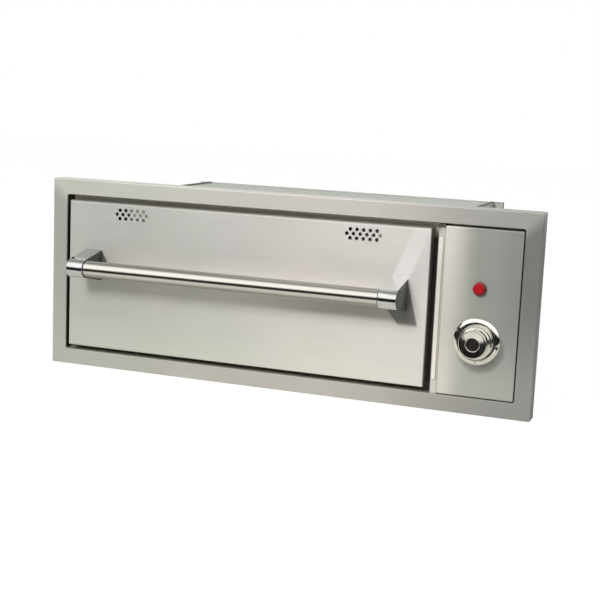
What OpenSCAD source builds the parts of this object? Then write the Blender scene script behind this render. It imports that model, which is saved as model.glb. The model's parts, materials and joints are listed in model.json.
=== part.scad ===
// Built-in electric warming drawer.
// An insulated housing slides into a cabinet and its flanged trim frame covers the cut-out.
// Left of the mullion runs a drawer on ball-bearing slides, right of it is the control panel.
//
// Millimetres. X to the right, Y to the back, Z up. The origin is in the middle of the frame's
// width, half way along the housing, on the underside of the base pan.

/* [Drawer front] */
// Width of the drawer front
front_w = 576; // [560:1:640]
// Height of the drawer front
front_h = 228; // [222:1:270]
// Depth of the folded drawer front
front_depth = 20; // [19:0.5:21.5]
// How far the drawer front stands out of the frame
front_proud = 5; // [3.5:0.5:6]
// Open gap all round the drawer front
front_gap = 8; // [4:0.5:12]
// Radius of the drawer front's folded edges
front_edge_r = 3; // [1.5:0.5:5]
// Sheet thickness of the drawer front
front_t = 1.2; // [0.8:0.1:1.5]

/* [Handle] */
// Distance from the outer end of one post to the outer end of the other
handle_span = 516; // [420:1:530]
// Diameter of the bar
bar_d = 25; // [18:0.5:28]
// Wall of the bar's tube
bar_wall = 1.5; // [1:0.1:3]
// Wall of the post's sleeve around the bar
sleeve_wall = 1.75; // [1.5:0.25:3]
// Length of a post along the bar
sleeve_l = 26.5; // [22:0.5:36]
// Distance from the drawer front to the bar's axis
handle_standoff = 47; // [36:1:60]
// Height of the post's foot on the drawer front
post_foot_h = 48; // [42:1:60]
// Height of the bar's axis above the middle of the drawer front
handle_rise = 16.3; // [0:0.1:24]

/* [Vents] */
// Diameter of a vent hole
vent_d = 5.6; // [4:0.1:6]
// Distance between the holes of a row
vent_pitch = 10; // [8:0.5:11]
// Distance between the rows
vent_row_step = 6.35; // [6:0.05:6.6]
// Holes in the middle row; the rows beside it have one less
vent_cols = 6; // [4:1:8]
// Distance from the top of the drawer front to the middle row
vent_drop = 16.6; // [15:0.1:17]
// From the left end of the drawer front to the left vent's first hole
vent_left_gap = 79.2; // [40:0.1:120]
// From the right end of the drawer front to the right vent's last hole
vent_right_gap = 71.7; // [66:0.1:120]
// How far the left shutter is drawn open
shutter_rest_left = 27.5; // [0:0.5:50]
// How far the right shutter is drawn open
shutter_rest_right = 51.8; // [0:0.1:55]

/* [Trim frame] */
// Width of the frame's face
frame_border = 24; // [20:1:36]
// Depth of the frame in front of the cabinet
frame_depth = 25; // [25:0.5:30]
// Sheet thickness of the frame
frame_t = 1.2; // [1:0.1:1.5]
// Width of the lips that lie on the cabinet
frame_lip = 14; // [10:1:16]
// Radius of the frame's folded edges
frame_edge_r = 1.6; // [1.6:0.1:3]

/* [Control section] */
// Width of the control panel
panel_w = 110; // [90:1:140]
// Gap beside and below the control panel
panel_gap = 1.5; // [0.5:0.25:3]
// Gap above the control panel
panel_top_gap = 3.5; // [0.5:0.25:4]
// Sheet thickness of the control panel
panel_t = 1.5; // [1:0.1:2]
// Width of the mullion between drawer and panel
mullion_w = 9; // [8:0.5:16]
// How far the mullion lies behind the frame's face
mullion_recess = 3; // [2:0.5:5]
// Width of the raised strip on the mullion
strip_w = 6.2; // [4:0.1:7]
// Length of the mullion left bare at each end of the strip
strip_end = 20.7; // [10:0.1:30]
// Height of the lamp above the middle of the panel
lamp_rise = 34; // [30:0.5:60]
// How far the lamp and the knob sit left of the panel's middle
control_offset = 1.8; // [0:0.1:3]
// Diameter of the lamp's lens
lamp_d = 20; // [16:0.5:24]
// How far the lens stands out of the panel
lamp_proud = 7; // [4:0.5:9]
// Distance of the knob's axis below the middle of the panel
knob_drop = 40.5; // [30:0.5:60]
// Diameter of the bezel behind the knob
bezel_d = 67; // [56:0.5:70]
// Thickness of the bezel
bezel_t = 3; // [2.5:0.25:4]
// Diameter of the knob's skirt
knob_d = 48; // [40:0.5:54]
// Diameter of the knob's face
knob_face_d = 40; // [32:0.5:40]
// Height of the knob
knob_h = 23.2; // [20:0.1:30]
// Diameter of the disc in the knob's face
cap_d = 20; // [14:0.5:24]
// Diameter of the thermostat's shaft
shaft_d = 6; // [5:0.5:7]
// Width of the control box behind the panel
box_w = 140; // [125:1:142]
// Depth of the control box
box_d = 116; // [100:1:150]
// Diameter of the cable's way through the gland
inlet_d = 10; // [6:0.5:12]

/* [Housing] */
// How far the drawer front overlaps the cavity on each side
overlap_side = 38; // [34:1:60]
// How far the drawer front overlaps the cavity above and below
overlap_top = 22; // [21:0.5:23]
// Thickness of the insulation
insulation_t = 22; // [16:1:30]
// Sheet thickness of the casing
casing_t = 1.2; // [0.8:0.1:1.2]
// Sheet thickness of the cavity liner
liner_t = 0.8; // [0.6:0.1:0.8]
// Width of the liner's flange round the cavity
liner_flange = 12; // [10:0.5:13]
// How far the rear panel stands out past each side of the casing
rear_ear = 18; // [14:1:24]
// How far the rear panel stands above the casing
rear_rise = 1.5; // [0:0.5:3]
// Diameter of the holes in the rear ears
ear_hole_d = 5.5; // [4:0.5:7]
// Height between the holes of one ear
ear_hole_step = 184; // [120:4:200]

/* [Drawer and slides] */
// How much shorter a slide is than the drawer tub
slide_short = 30; // [20:1:60]
// Height of a slide
slide_h = 45; // [45:1:50]
// Room that one slide takes between cavity and tub
slide_side = 12.7; // [12.7:0.1:13.5]
// Diameter of the bearing balls
ball_d = 4; // [3.5:0.1:4]
// Length of a ball cage
cage_l = 160; // [100:10:190]
// Distance between the balls of a cage
ball_pitch = 16; // [10:1:24]
// Length of the drawer tub
tub_l = 430; // [380:1:500]
// Room between the tub and the cavity's rear wall
tub_rear_gap = 18; // [12:1:40]
// Height of the drawer tub
tub_h = 128; // [100:1:136]
// Sheet thickness of the tub
tub_t = 1; // [0.8:0.1:1.2]
// Width of the tub's rim
tub_rim = 8; // [4:0.5:10]
// Radius of the tub's upright corners
tub_corner_r = 12; // [6:1:20]
// Diameter of the rack's long wires
rack_wire_d = 4; // [3:0.5:5]
// Distance between the rack's long wires
rack_pitch = 26; // [18:1:40]

/* [Heating] */
// Diameter of the heating element
element_d = 8; // [6:0.5:8]
// Distance between the element's runs
element_pitch = 88; // [60:1:95]
// Height of the element above the cavity's floor
element_rise = 14; // [10:0.5:16]
// Diameter of the thermostat's bulb
bulb_d = 6; // [4:0.5:6]
// Length of the thermostat's bulb
bulb_l = 80; // [50:1:110]

/* [Hidden] */

$fn = 48;
seat = 0.3;     // clearance between pieces that lie against each other
past = 1;       // how far a cut runs past the face it opens
screw_r = 2;    // shank radius of the small screws
screw_play = 0.1;
head_r = 4;
head_h = 2.2;

// The trim frame and its opening
frame_w = 2 * (frame_border + front_gap + panel_gap) + front_w + mullion_w + panel_w;
cavity_w = front_w - 2 * overlap_side;
cavity_h = front_h - 2 * overlap_top;
wall = liner_t + insulation_t + casing_t;
casing_w = cavity_w + 2 * wall;
casing_h = cavity_h + 2 * wall;
plate_t = 1;
plate_behind_frame = front_depth + plate_t - front_proud;   // the drawer front's back
casing_d = plate_behind_frame - frame_depth + tub_l + tub_rear_gap + wall;
middle_z = casing_h / 2;
opening_h = front_h + 2 * front_gap;
frame_h = opening_h + 2 * frame_border;
rear_plane = -casing_d / 2;             // the cabinet's face
frame_face = rear_plane - frame_depth;  // the frame's front face
frame_low = [-frame_w / 2, frame_face, middle_z - frame_h / 2];
frame_high = [frame_w / 2, rear_plane, middle_z + frame_h / 2];
opening_low = [frame_low.x + frame_border, frame_face, frame_low.z + frame_border];
opening_high = [frame_high.x - frame_border, rear_plane, frame_high.z - frame_border];
bulkhead_rear = rear_plane - casing_t;
bulkhead_front = bulkhead_rear - frame_t;

// The drawer front
drawer_x = opening_low.x + front_gap + front_w / 2;
skin_front = frame_face - front_proud;
skin_rear = skin_front + front_depth;
skin_low = [drawer_x - front_w / 2, skin_front, opening_low.z + front_gap];
skin_high = [drawer_x + front_w / 2, skin_rear, opening_high.z - front_gap];
skin_back = skin_front + front_t;
skin_lip = 10;
plate_inset = 4;
plate_rear = frame_face + plate_behind_frame;

// The control section
mullion_x = [skin_high.x + front_gap, skin_high.x + front_gap + mullion_w];
panel_x = [mullion_x[1] + panel_gap, mullion_x[1] + panel_gap + panel_w];
panel_z = [opening_low.z + panel_gap, opening_high.z - panel_top_gap];
control_x = (panel_x[0] + panel_x[1]) / 2 - control_offset;
lamp_z = middle_z + lamp_rise;
knob_z = middle_z - knob_drop;
panel_back = frame_face + panel_t;
window_inset = [8, 30];
lamp_body_r = 6;
lamp_body_l = 19;
lamp_tab_l = 8;
lamp_nut = [9, 3];          // radius and thickness
thermostat_size = [40, 34, 36];
bush_r = 5;
bush_nut = [7, 2.5];        // radius and thickness
shaft_play = 0.05;

// The housing and the cavity
casing_x = [drawer_x - casing_w / 2, drawer_x + casing_w / 2];
casing_rear = casing_d / 2;
cavity_x = [drawer_x - cavity_w / 2, drawer_x + cavity_w / 2];
cavity_z = [wall, wall + cavity_h];
cavity_rear = casing_rear - wall;
liner_front = bulkhead_front - liner_t;
casing_flange = 12;
rear_lip = 10;
pan_upturn = 15;
box_x = [casing_x[1], casing_x[1] + box_w];
box_rear = rear_plane + box_d;
box_t = 1;
box_flange = 9;
ear_x = casing_w / 2 + rear_ear / 2;
ear_z = [middle_z - ear_hole_step / 2, middle_z + ear_hole_step / 2];
gasket_w = 10;

// The slides: s is the distance from the cavity's wall, h the height from the slide's middle
slide_drop = 6;
slide_z = middle_z - slide_drop;
slide_front_gap = 6;
slide_y = [liner_front + slide_front_gap, liner_front + slide_front_gap + tub_l - slide_short];
slide_t = 1.2;
cage_t = 0.5;
ball_play = 0.15;
ball_lane = ball_d + 2 * ball_play;
outer_h = slide_h / 2;
mid_h = outer_h - slide_t - ball_lane;
inner_h = mid_h - slide_t - ball_lane;
cage_s1 = slide_t + seat;
mid_s = cage_s1 + cage_t + seat;
cage_s2 = mid_s + slide_t + seat;
inner_s = cage_s2 + cage_t + seat;
outer_end = slide_side - 3.7;
mid_end = slide_side - slide_t - 0.5;
ball_s1 = slide_side - 6.7;
ball_s2 = slide_side - 4.7;
cage_arm = 0.8;

// The drawer tub
tub_w = cavity_w - 2 * slide_side;
tub_floor_rise = 30;
tub_z = [wall + tub_floor_rise, wall + tub_floor_rise + tub_h];
tub_y = [plate_rear, plate_rear + tub_l];
tub_screw_inset = 30;
tub_screw_z = [tub_z[0] + tub_screw_inset, tub_z[1] - tub_screw_inset];
rack_bar_r = 2.5;
rack_gap = 6;

// The vents
vent_half = (vent_cols - 1) / 2 * vent_pitch + vent_d / 2;
vent_z = skin_high.z - vent_drop;
vent_left_x = vent_left_gap + vent_half - front_w / 2;
vent_right_x = front_w / 2 - vent_right_gap - vent_half;
shutter_margin = 2;
shutter_w = 2 * (vent_half + shutter_margin);
shutter_h = 2 * (vent_row_step + vent_d / 2 + shutter_margin);
shutter_t = 1;
shutter_travel = vent_half + shutter_w / 2 + 0.5;
shutter_y = skin_back + seat;
guide_t = 1;
guide_y = shutter_y + shutter_t + seat;
tab_w = 10;
tab_y = guide_y + guide_t + 0.8;
tab_z = vent_z - shutter_h / 2 - 8;
pin_r = 2.5;
grip_r = 6;
grip_offset = 24;           // the grip sits near the left end of its shutter
slot_h = 14;
finger_room = 20;           // below a grip's axis
guide_over = 1;

// The handle
handle_z = middle_z + handle_rise;
bar_y = skin_front - handle_standoff;
sleeve_r = bar_d / 2 + sleeve_wall;
bar_socket = sleeve_l - 5;
handle_screw_r = 2.5;
handle_screw_step = 14;
handle_screw_l = 12;        // in the post
handle_screw_head = [4.5, 3];
backing_t = 2.5;
backing_size = [20, 56];
insulation_front = skin_back + backing_t + handle_screw_head[1] + 2;

// The heating element's runs
run_front_gap = 48;
run_y = [for (i = [0 : 3]) bulkhead_rear + run_front_gap + i * element_pitch];
element_z = wall + element_rise;
element_r = element_d / 2;
turn_r = element_pitch / 2;
turn_gap = [60, 80];        // from the cavity's left and right wall to the turns
return_gap = 40;
run_left = cavity_x[0] + turn_gap[0] + turn_r;
run_right = cavity_x[1] - turn_gap[1] - turn_r;
return_x = cavity_x[1] - return_gap;
corner_r = 20;
exit_gap = 32;
exit_y = run_y[0] + exit_gap;
element_past_casing = 16;
element_end = box_x[0] + element_past_casing;
element_pin_l = 7;
bracket_shift = 15;
bracket_x = [for (s = [-1 : 1]) drawer_x - bracket_shift + s * cavity_w / 5];
bracket_over = 6;           // above the element
bracket_past = 12;          // past the first and last run
bracket_foot = 12;
bracket_h = element_rise + element_r + bracket_over;
bracket_t = 1.2;
bush_wall = 3;
bush_outer_r = element_r + bush_wall;
bulb_x = cavity_x[1] - slide_side / 2;
bulb_bend = 7;
capillary_r = 1.2;
capillary_y = bulkhead_rear + 6.7;

// A block from its low corner to its high corner
module block(low, high) {
    translate(low) cube(high - low);
}

module rod_x(at, length, r) {
    translate(at) rotate([0, 90, 0]) cylinder(h = length, r = r);
}

module rod_y(at, length, r) {
    translate(at) rotate([-90, 0, 0]) cylinder(h = length, r = r);
}

// Outline of a folded pan: the two corners at the front are round
module pan_outline(low, high, r) {
    size = high - low;
    translate([low.x, low.y + r]) square([size.x, size.y - r]);
    translate([low.x + r, low.y]) square([size.x - 2 * r, size.y]);
    for (x = [low.x + r, high.x - r]) translate([x, low.y + r]) circle(r);
}

// Outline of an opening whose edges are folded round towards the front
module flared_outline(low, high, r) {
    size = high - low;
    translate([low.x, low.y - past]) square([size.x, size.y + 2 * past]);
    difference() {
        translate([low.x - r, low.y - past]) square([size.x + 2 * r, r + past]);
        for (x = [low.x - r, high.x + r]) translate([x, low.y + r]) circle(r);
    }
}

// A block whose four front edges are round
module round_front_block(low, high, r) {
    intersection() {
        translate([0, 0, low.z]) linear_extrude(high.z - low.z)
            pan_outline([low.x, low.y], [high.x, high.y], r);
        translate([low.x, 0, 0]) rotate([0, 90, 0]) linear_extrude(high.x - low.x)
            pan_outline([-high.z, low.y], [-low.z, high.y], r);
    }
}

// The room of an opening whose four front edges are round
module flared_opening(low, high, r) {
    intersection() {
        translate([0, 0, low.z - 2 * r]) linear_extrude(high.z - low.z + 4 * r)
            flared_outline([low.x, low.y], [high.x, high.y], r);
        translate([low.x - 2 * r, 0, 0]) rotate([0, 90, 0])
            linear_extrude(high.x - low.x + 4 * r)
                flared_outline([-high.z, low.y], [-low.z, high.y], r);
    }
}

// Builds for the right side; the left side is its mirror image about the drawer
module on_side(side) {
    translate([drawer_x, 0, 0]) {
        if (side < 0) mirror([1, 0, 0]) children();
        else children();
    }
}

// ---- Trim frame and control section -------------------------------------------------------

module trim_frame() {
    color("silver") difference() {
        round_front_block(frame_low, frame_high, frame_edge_r);
        flared_opening(opening_low, opening_high, frame_edge_r);
        // the folded sheet is hollow behind its face
        difference() {
            block(frame_low + [frame_t, frame_t, frame_t],
                frame_high - [frame_t, casing_t, frame_t]);
            block([opening_low.x - frame_t, frame_face, opening_low.z - frame_t],
                [opening_high.x + frame_t, bulkhead_front, opening_high.z + frame_t]);
        }
        // only the outer lips reach the cabinet
        block([frame_low.x + frame_lip, bulkhead_front, frame_low.z + frame_lip],
            [frame_high.x - frame_lip, rear_plane + past, frame_high.z - frame_lip]);
    }
}

module bulkhead() {
    edge = frame_t + seat;
    hole = liner_t + seat;
    color("gray") difference() {
        block([frame_low.x + edge, bulkhead_front, frame_low.z + edge],
            [frame_high.x - edge, bulkhead_rear, frame_high.z - edge]);
        block([cavity_x[0] - hole, bulkhead_front - past, cavity_z[0] - hole],
            [cavity_x[1] + hole, bulkhead_rear + past, cavity_z[1] + hole]);
        block([panel_x[0] + window_inset[0], bulkhead_front - past, panel_z[0] + window_inset[1]],
            [panel_x[1] - window_inset[0], bulkhead_rear + past, panel_z[1] - window_inset[1]]);
    }
}

module mullion() {
    front = frame_face + mullion_recess;
    color("darkgray") difference() {
        block([mullion_x[0], front, opening_low.z],
            [mullion_x[1], bulkhead_front, opening_high.z]);
        block([mullion_x[0] + frame_t, front + frame_t, opening_low.z - past],
            [mullion_x[1] - frame_t, bulkhead_front + past, opening_high.z + past]);
    }
}

module mullion_strip() {
    middle = (mullion_x[0] + mullion_x[1]) / 2;
    color("whitesmoke")
        block([middle - strip_w / 2, frame_face, opening_low.z + strip_end],
            [middle + strip_w / 2, frame_face + mullion_recess, opening_high.z - strip_end]);
}

module control_panel() {
    low = [panel_x[0], frame_face, panel_z[0]];
    high = [panel_x[1], bulkhead_front, panel_z[1]];
    color("silver") difference() {
        round_front_block(low, high, panel_t);
        block([low.x + panel_t, panel_back, low.z + panel_t],
            [high.x - panel_t, bulkhead_front + past, high.z - panel_t]);
        rod_y([control_x, frame_face - past, lamp_z], panel_t + 2 * past, lamp_body_r + screw_play);
        rod_y([control_x, frame_face - past, knob_z], panel_t + 2 * past, bush_r + screw_play);
    }
}

// Rings on an axis that points out of the panel: x is the radius, y the height off the panel
module on_panel(z) {
    translate([control_x, frame_face, z]) rotate([90, 0, 0]) children();
}

module knob_bezel() {
    edge = bezel_t / 2;
    color("gainsboro") on_panel(knob_z) rotate_extrude() {
        translate([bush_nut[0] + 1, 0]) square([bezel_d / 2 - edge - bush_nut[0] - 1, bezel_t]);
        translate([bezel_d / 2 - edge, 0]) square([edge, bezel_t - edge]);
        intersection() {
            translate([bezel_d / 2 - edge, bezel_t - edge]) circle(edge);
            translate([bezel_d / 2 - edge, 0]) square([edge, bezel_t]);
        }
    }
}

module indicator_lens() {
    edge = 3;
    color("red") on_panel(lamp_z) rotate_extrude() {
        square([lamp_d / 2 - edge, lamp_proud]);
        square([lamp_d / 2, lamp_proud - edge]);
        intersection() {
            translate([lamp_d / 2 - edge, lamp_proud - edge]) circle(edge);
            translate([lamp_d / 2 - edge, 0]) square([edge, lamp_proud]);
        }
    }
}

module indicator_body() {
    color("black") {
        rod_y([control_x, frame_face, lamp_z], lamp_body_l, lamp_body_r);
        difference() {
            rod_y([control_x, panel_back, lamp_z], lamp_nut[1], lamp_nut[0]);
            rod_y([control_x, panel_back - past, lamp_z], lamp_nut[1] + 2 * past, lamp_body_r);
        }
    }
    color("gold") for (side = [-1, 1])
        translate([control_x + side * 3 - 0.4, frame_face + lamp_body_l, lamp_z - 1.5])
            cube([0.8, lamp_tab_l, 3]);
}

module thermostat_body() {
    size = thermostat_size;
    color("tan") difference() {
        union() {
            translate([control_x - size.x / 2, panel_back, knob_z - size.z / 2]) cube(size);
            rod_y([control_x, panel_back - panel_t - bush_nut[1], knob_z],
                panel_t + bush_nut[1] + past, bush_r);
        }
        rod_y([control_x, frame_face - bush_nut[1] - past, knob_z],
            bush_nut[1] + panel_t + size.y / 2 + past, shaft_d / 2 + shaft_play);
    }
    color("silver") difference() {
        rod_y([control_x, frame_face - bush_nut[1], knob_z], bush_nut[1], bush_nut[0]);
        rod_y([control_x, frame_face - bush_nut[1] - past, knob_z],
            bush_nut[1] + 2 * past, bush_r);
    }
}

module thermostat_shaft() {
    tip = frame_face - bezel_t - seat - knob_h / 2;
    color("silver") rod_y([control_x, tip, knob_z],
        panel_back + thermostat_size.y / 2 - seat - tip, shaft_d / 2);
}

module knob() {
    foot = bezel_t + seat;
    r = knob_d / 2;
    face_r = knob_face_d / 2;
    step_h = knob_h * 0.24;
    groove = 1;
    color("lightgray") on_panel(knob_z) difference() {
        rotate_extrude() polygon([[0, foot], [r - 1, foot], [r, foot + 1], [r, foot + step_h],
            [r - 1, foot + step_h + 1], [face_r + 1.5, foot + step_h + 1],
            [face_r, foot + knob_h - 1], [face_r - 1, foot + knob_h], [0, foot + knob_h]]);
        // the seat of the shaft and that of the disc in the face
        translate([0, 0, foot - past]) cylinder(h = knob_h / 2 + past, r = shaft_d / 2);
        translate([0, 0, foot + knob_h - groove]) cylinder(h = groove + past, r = cap_d / 2 + seat);
    }
}

module knob_cap() {
    foot = bezel_t + seat + knob_h - 1;
    color("black") on_panel(knob_z) translate([0, 0, foot]) cylinder(h = 1.6, r = cap_d / 2);
}

module capillary_bulb() {
    start_x = bulb_x + bulb_bend;
    end_x = control_x - thermostat_size.x / 2;
    color("peru") {
        rod_x([start_x, capillary_y, knob_z], end_x - start_x, capillary_r);
        translate([start_x, capillary_y + bulb_bend, knob_z]) rotate([0, 0, 180])
            rotate_extrude(angle = 90) translate([bulb_bend, 0]) circle(capillary_r);
        rod_y([bulb_x, capillary_y + bulb_bend, knob_z], bulb_l, bulb_d / 2);
    }
}

module bulb_clips() {
    first = capillary_y + bulb_bend;
    clip_l = 6;
    color("silver") for (share = [0.2, 0.8]) difference() {
        block([bulb_x, first + share * bulb_l - clip_l / 2, knob_z - bulb_d / 2 - 2],
            [cavity_x[1], first + share * bulb_l + clip_l / 2, knob_z + bulb_d / 2 + 2]);
        rod_y([bulb_x, first, knob_z], bulb_l, bulb_d / 2);
    }
}

// The box is open to the bulkhead and to the side of the casing
module control_box() {
    color("silver") difference() {
        union() {
            block([box_x[0], bulkhead_rear, 0], [box_x[1], box_rear, casing_h]);
            block([box_x[0], bulkhead_rear, -box_flange],
                [box_x[1] + box_flange, bulkhead_rear + box_t, casing_h + box_flange]);
        }
        block([box_x[0] - past, bulkhead_rear - past, box_t],
            [box_x[1] - box_t, box_rear - box_t, casing_h - box_t]);
        rod_y([gland_x(), box_rear - box_t - past, gland_rise], box_t + 2 * past,
            gland_thread_r() + screw_play);
    }
}

gland_shift = 20;
gland_rise = 60;
function gland_x() = (box_x[0] + box_x[1]) / 2 + gland_shift;
function gland_thread_r() = inlet_d / 2 + 3;

module cable_gland() {
    thread_r = gland_thread_r();
    nut_h = 5;
    dome_h = 12;
    color("dimgray") translate([gland_x(), box_rear, gland_rise]) rotate([-90, 0, 0])
        difference() {
            union() {
                translate([0, 0, -box_t - nut_h - 2]) cylinder(h = box_t + nut_h + 3, r = thread_r);
                cylinder(h = nut_h, r = thread_r + 4, $fn = 6);
                translate([0, 0, nut_h]) cylinder(h = dome_h, r = thread_r + 2);
                translate([0, 0, -box_t - nut_h])
                    cylinder(h = nut_h, r = thread_r + 4, $fn = 6);
            }
            translate([0, 0, -box_t - nut_h - 3])
                cylinder(h = box_t + 2 * nut_h + dome_h + 4, r = inlet_d / 2);
        }
}

terminal_l = 50;
terminal_gap = 40;
terminal_x = [box_x[0] + terminal_gap, box_x[0] + terminal_gap + terminal_l];
terminal_rise = 20;
terminal_z = middle_z + terminal_rise;
terminal_depth = 16;

module terminal_block() {
    depth = terminal_depth;
    height = 20;
    poles = 4;
    pole_step = (terminal_x[1] - terminal_x[0]) / poles;
    rear = box_rear - box_t;
    color("ivory") difference() {
        block([terminal_x[0], rear - depth, terminal_z - height / 2],
            [terminal_x[1], rear, terminal_z + height / 2]);
        for (i = [0 : poles - 1], z = [-5, 5])
            rod_y([terminal_x[0] + (i + 0.5) * pole_step, rear - depth - past, terminal_z + z],
                5 + past, 2.4);
    }
}

// A wire through a list of points: eight-sided runs that pass a little into each other
module wire(points, r) {
    last = len(points) - 1;
    for (i = [1 : last]) {
        run = points[i] - points[i - 1];
        flat = norm([run.x, run.y]);
        before = i > 1 ? r / 2 : 0;
        after = i < last ? r / 2 : 0;
        translate(points[i - 1]) rotate([0, atan2(flat, run.z), atan2(run.y, run.x)])
            translate([0, 0, -before]) cylinder(h = norm(run) + before + after, r = r, $fn = 8);
    }
}

module wiring() {
    wire_r = 1.3;
    pole_x = function(i) terminal_x[0] + (i + 0.5) * terminal_l / 4;
    front = box_rear - box_t - terminal_depth;
    body_rear = panel_back + thermostat_size.y;
    lane = front - 12;
    pin_end = element_end + element_pin_l;
    lamp_tab_end = frame_face + lamp_body_l + lamp_tab_l;
    lead = 14;
    color("firebrick") {
        wire([[pole_x(0), front, terminal_z - 5], [pole_x(0), lane, terminal_z - 5],
            [pin_end + lead, exit_y, element_z], [pin_end, exit_y, element_z]], wire_r);
        wire([[pole_x(1), front, terminal_z - 5], [pole_x(1), lane, terminal_z - 5],
            [control_x - 8, body_rear + 10, knob_z + 6], [control_x - 8, body_rear, knob_z + 6]],
            wire_r);
        wire([[pole_x(2), front, terminal_z + 5], [pole_x(2), lane, terminal_z + 5],
            [control_x - 3, lamp_tab_end + 10, lamp_z], [control_x - 3, lamp_tab_end, lamp_z]],
            wire_r);
        wire([[pole_x(3), front, terminal_z + 5], [pole_x(3), lane, terminal_z + 5],
            [control_x + 3, lamp_tab_end + 10, lamp_z], [control_x + 3, lamp_tab_end, lamp_z]],
            wire_r);
        wire([[pin_end, run_y[0], element_z], [pin_end + lead, run_y[0], element_z],
            [control_x + 6, body_rear + 8, knob_z - 8], [control_x + 6, body_rear, knob_z - 8]],
            wire_r);
    }
}

// ---- Housing ------------------------------------------------------------------------------

// Where the element's bushes and the thermostat's capillary pass the right wall
module wall_passages(from_x, to_x, bush_r, tube_r) {
    for (y = [run_y[0], exit_y]) rod_x([from_x, y, element_z], to_x - from_x, bush_r);
    rod_x([from_x, capillary_y, knob_z], to_x - from_x, tube_r);
}

module casing() {
    t = casing_t;
    color("silver") difference() {
        union() {
            block([casing_x[0], bulkhead_rear, 0],
                [casing_x[1], casing_rear - t, casing_h]);
            block([casing_x[0] - casing_flange, bulkhead_rear, 0],
                [casing_x[1], rear_plane, casing_h + casing_flange]);
        }
        block([casing_x[0] + t, bulkhead_rear - past, -past],
            [casing_x[1] - t, casing_rear - 2 * t, casing_h - t]);
        block([casing_x[0] + rear_lip, casing_rear - 2 * t - past, -past],
            [casing_x[1] - rear_lip, casing_rear - t + past, casing_h - rear_lip]);
        wall_passages(casing_x[1] - t - past, casing_x[1] + past, bush_outer_r + screw_play,
            capillary_r + seat);
        rear_screw_shanks(screw_r + screw_play);
    }
}

module base_pan() {
    t = casing_t;
    low = [casing_x[0] + t, bulkhead_rear, 0];
    high = [casing_x[1] - t, casing_rear - 2 * t, pan_upturn];
    color("gray") difference() {
        union() {
            block(low, high);
            block([low.x, bulkhead_rear, -casing_flange], [high.x, rear_plane, 0]);
        }
        block([low.x + t, low.y - past, t], [high.x - t, high.y + past, pan_upturn + past]);
        wall_passages(high.x - t - past, high.x + past, bush_outer_r + screw_play, capillary_r);
    }
}

module rear_panel() {
    color("lightgray") difference() {
        block([drawer_x - casing_w / 2 - rear_ear, casing_rear - casing_t, 0],
            [drawer_x + casing_w / 2 + rear_ear, casing_rear, casing_h + rear_rise]);
        for (side = [-1, 1], z = ear_z)
            rod_y([drawer_x + side * ear_x, casing_rear - casing_t - past, z],
                casing_t + 2 * past, ear_hole_d / 2);
        rear_screw_shanks(screw_r + screw_play);
    }
}

// The screws that hold the rear panel on the casing's lips
module each_rear_screw() {
    inset = rear_lip / 2;
    y = casing_rear - 2 * casing_t;
    for (side = [-1, 1], share = [0.15, 0.5, 0.85])
        translate([drawer_x + side * (casing_w / 2 - inset), y, share * casing_h]) children();
    for (share = [-0.5, 0, 0.5])
        translate([drawer_x + share * casing_w, y, casing_h - inset]) children();
}

module rear_screw_shanks(r) {
    each_rear_screw() rod_y([0, -past, 0], 2 * casing_t + 2 * past, r);
}

module rear_screws() {
    color("dimgray") each_rear_screw() {
        rod_y([0, 0, 0], 2 * casing_t, screw_r);
        rod_y([0, 2 * casing_t, 0], head_h, head_r);
    }
}

module cavity_liner() {
    low = [cavity_x[0] - liner_t, liner_front, cavity_z[0] - liner_t];
    high = [cavity_x[1] + liner_t, cavity_rear + liner_t, cavity_z[1] + liner_t];
    color("whitesmoke") difference() {
        union() {
            block(low, high);
            block([cavity_x[0] - liner_flange, liner_front, cavity_z[0] - liner_flange],
                [cavity_x[1] + liner_flange, liner_front + liner_t, cavity_z[1] + liner_flange]);
        }
        block([cavity_x[0], liner_front - past, cavity_z[0]],
            [cavity_x[1], cavity_rear, cavity_z[1]]);
        wall_passages(cavity_x[1] - past, high.x + past, element_r + seat, capillary_r + seat);
    }
}

// The slabs fill the room between liner and casing
slab_x = [casing_x[0] + 2 * casing_t + seat, casing_x[1] - 2 * casing_t - seat];
slab_y = [bulkhead_rear + seat, cavity_rear + liner_t];
slab_gap = liner_t + seat;

module insulation_top() {
    color("khaki") block([slab_x[0], slab_y[0], cavity_z[1] + slab_gap],
        [slab_x[1], slab_y[1], casing_h - casing_t - seat]);
}

module insulation_bottom() {
    color("khaki") block([slab_x[0], slab_y[0], casing_t + seat],
        [slab_x[1], slab_y[1], cavity_z[0] - slab_gap]);
}

module insulation_left() {
    color("khaki") block([slab_x[0], slab_y[0], cavity_z[0] - liner_t],
        [cavity_x[0] - slab_gap, slab_y[1], cavity_z[1] + liner_t]);
}

module insulation_right() {
    color("khaki") difference() {
        block([cavity_x[1] + slab_gap, slab_y[0], cavity_z[0] - liner_t],
            [slab_x[1], slab_y[1], cavity_z[1] + liner_t]);
        wall_passages(cavity_x[1], slab_x[1] + past, bush_outer_r + seat, capillary_r + seat);
    }
}

module insulation_rear() {
    color("khaki") block([slab_x[0], slab_y[1] + seat, casing_t + seat],
        [slab_x[1], casing_rear - 2 * casing_t - seat, casing_h - casing_t - seat]);
}

// ---- Heating ------------------------------------------------------------------------------

// A bend of the element in the plane of its runs
module element_bend(centre, r, start, sweep) {
    translate([centre.x, centre.y, element_z]) rotate([0, 0, start])
        rotate_extrude(angle = sweep) translate([r, 0]) circle(element_r);
}

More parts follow.
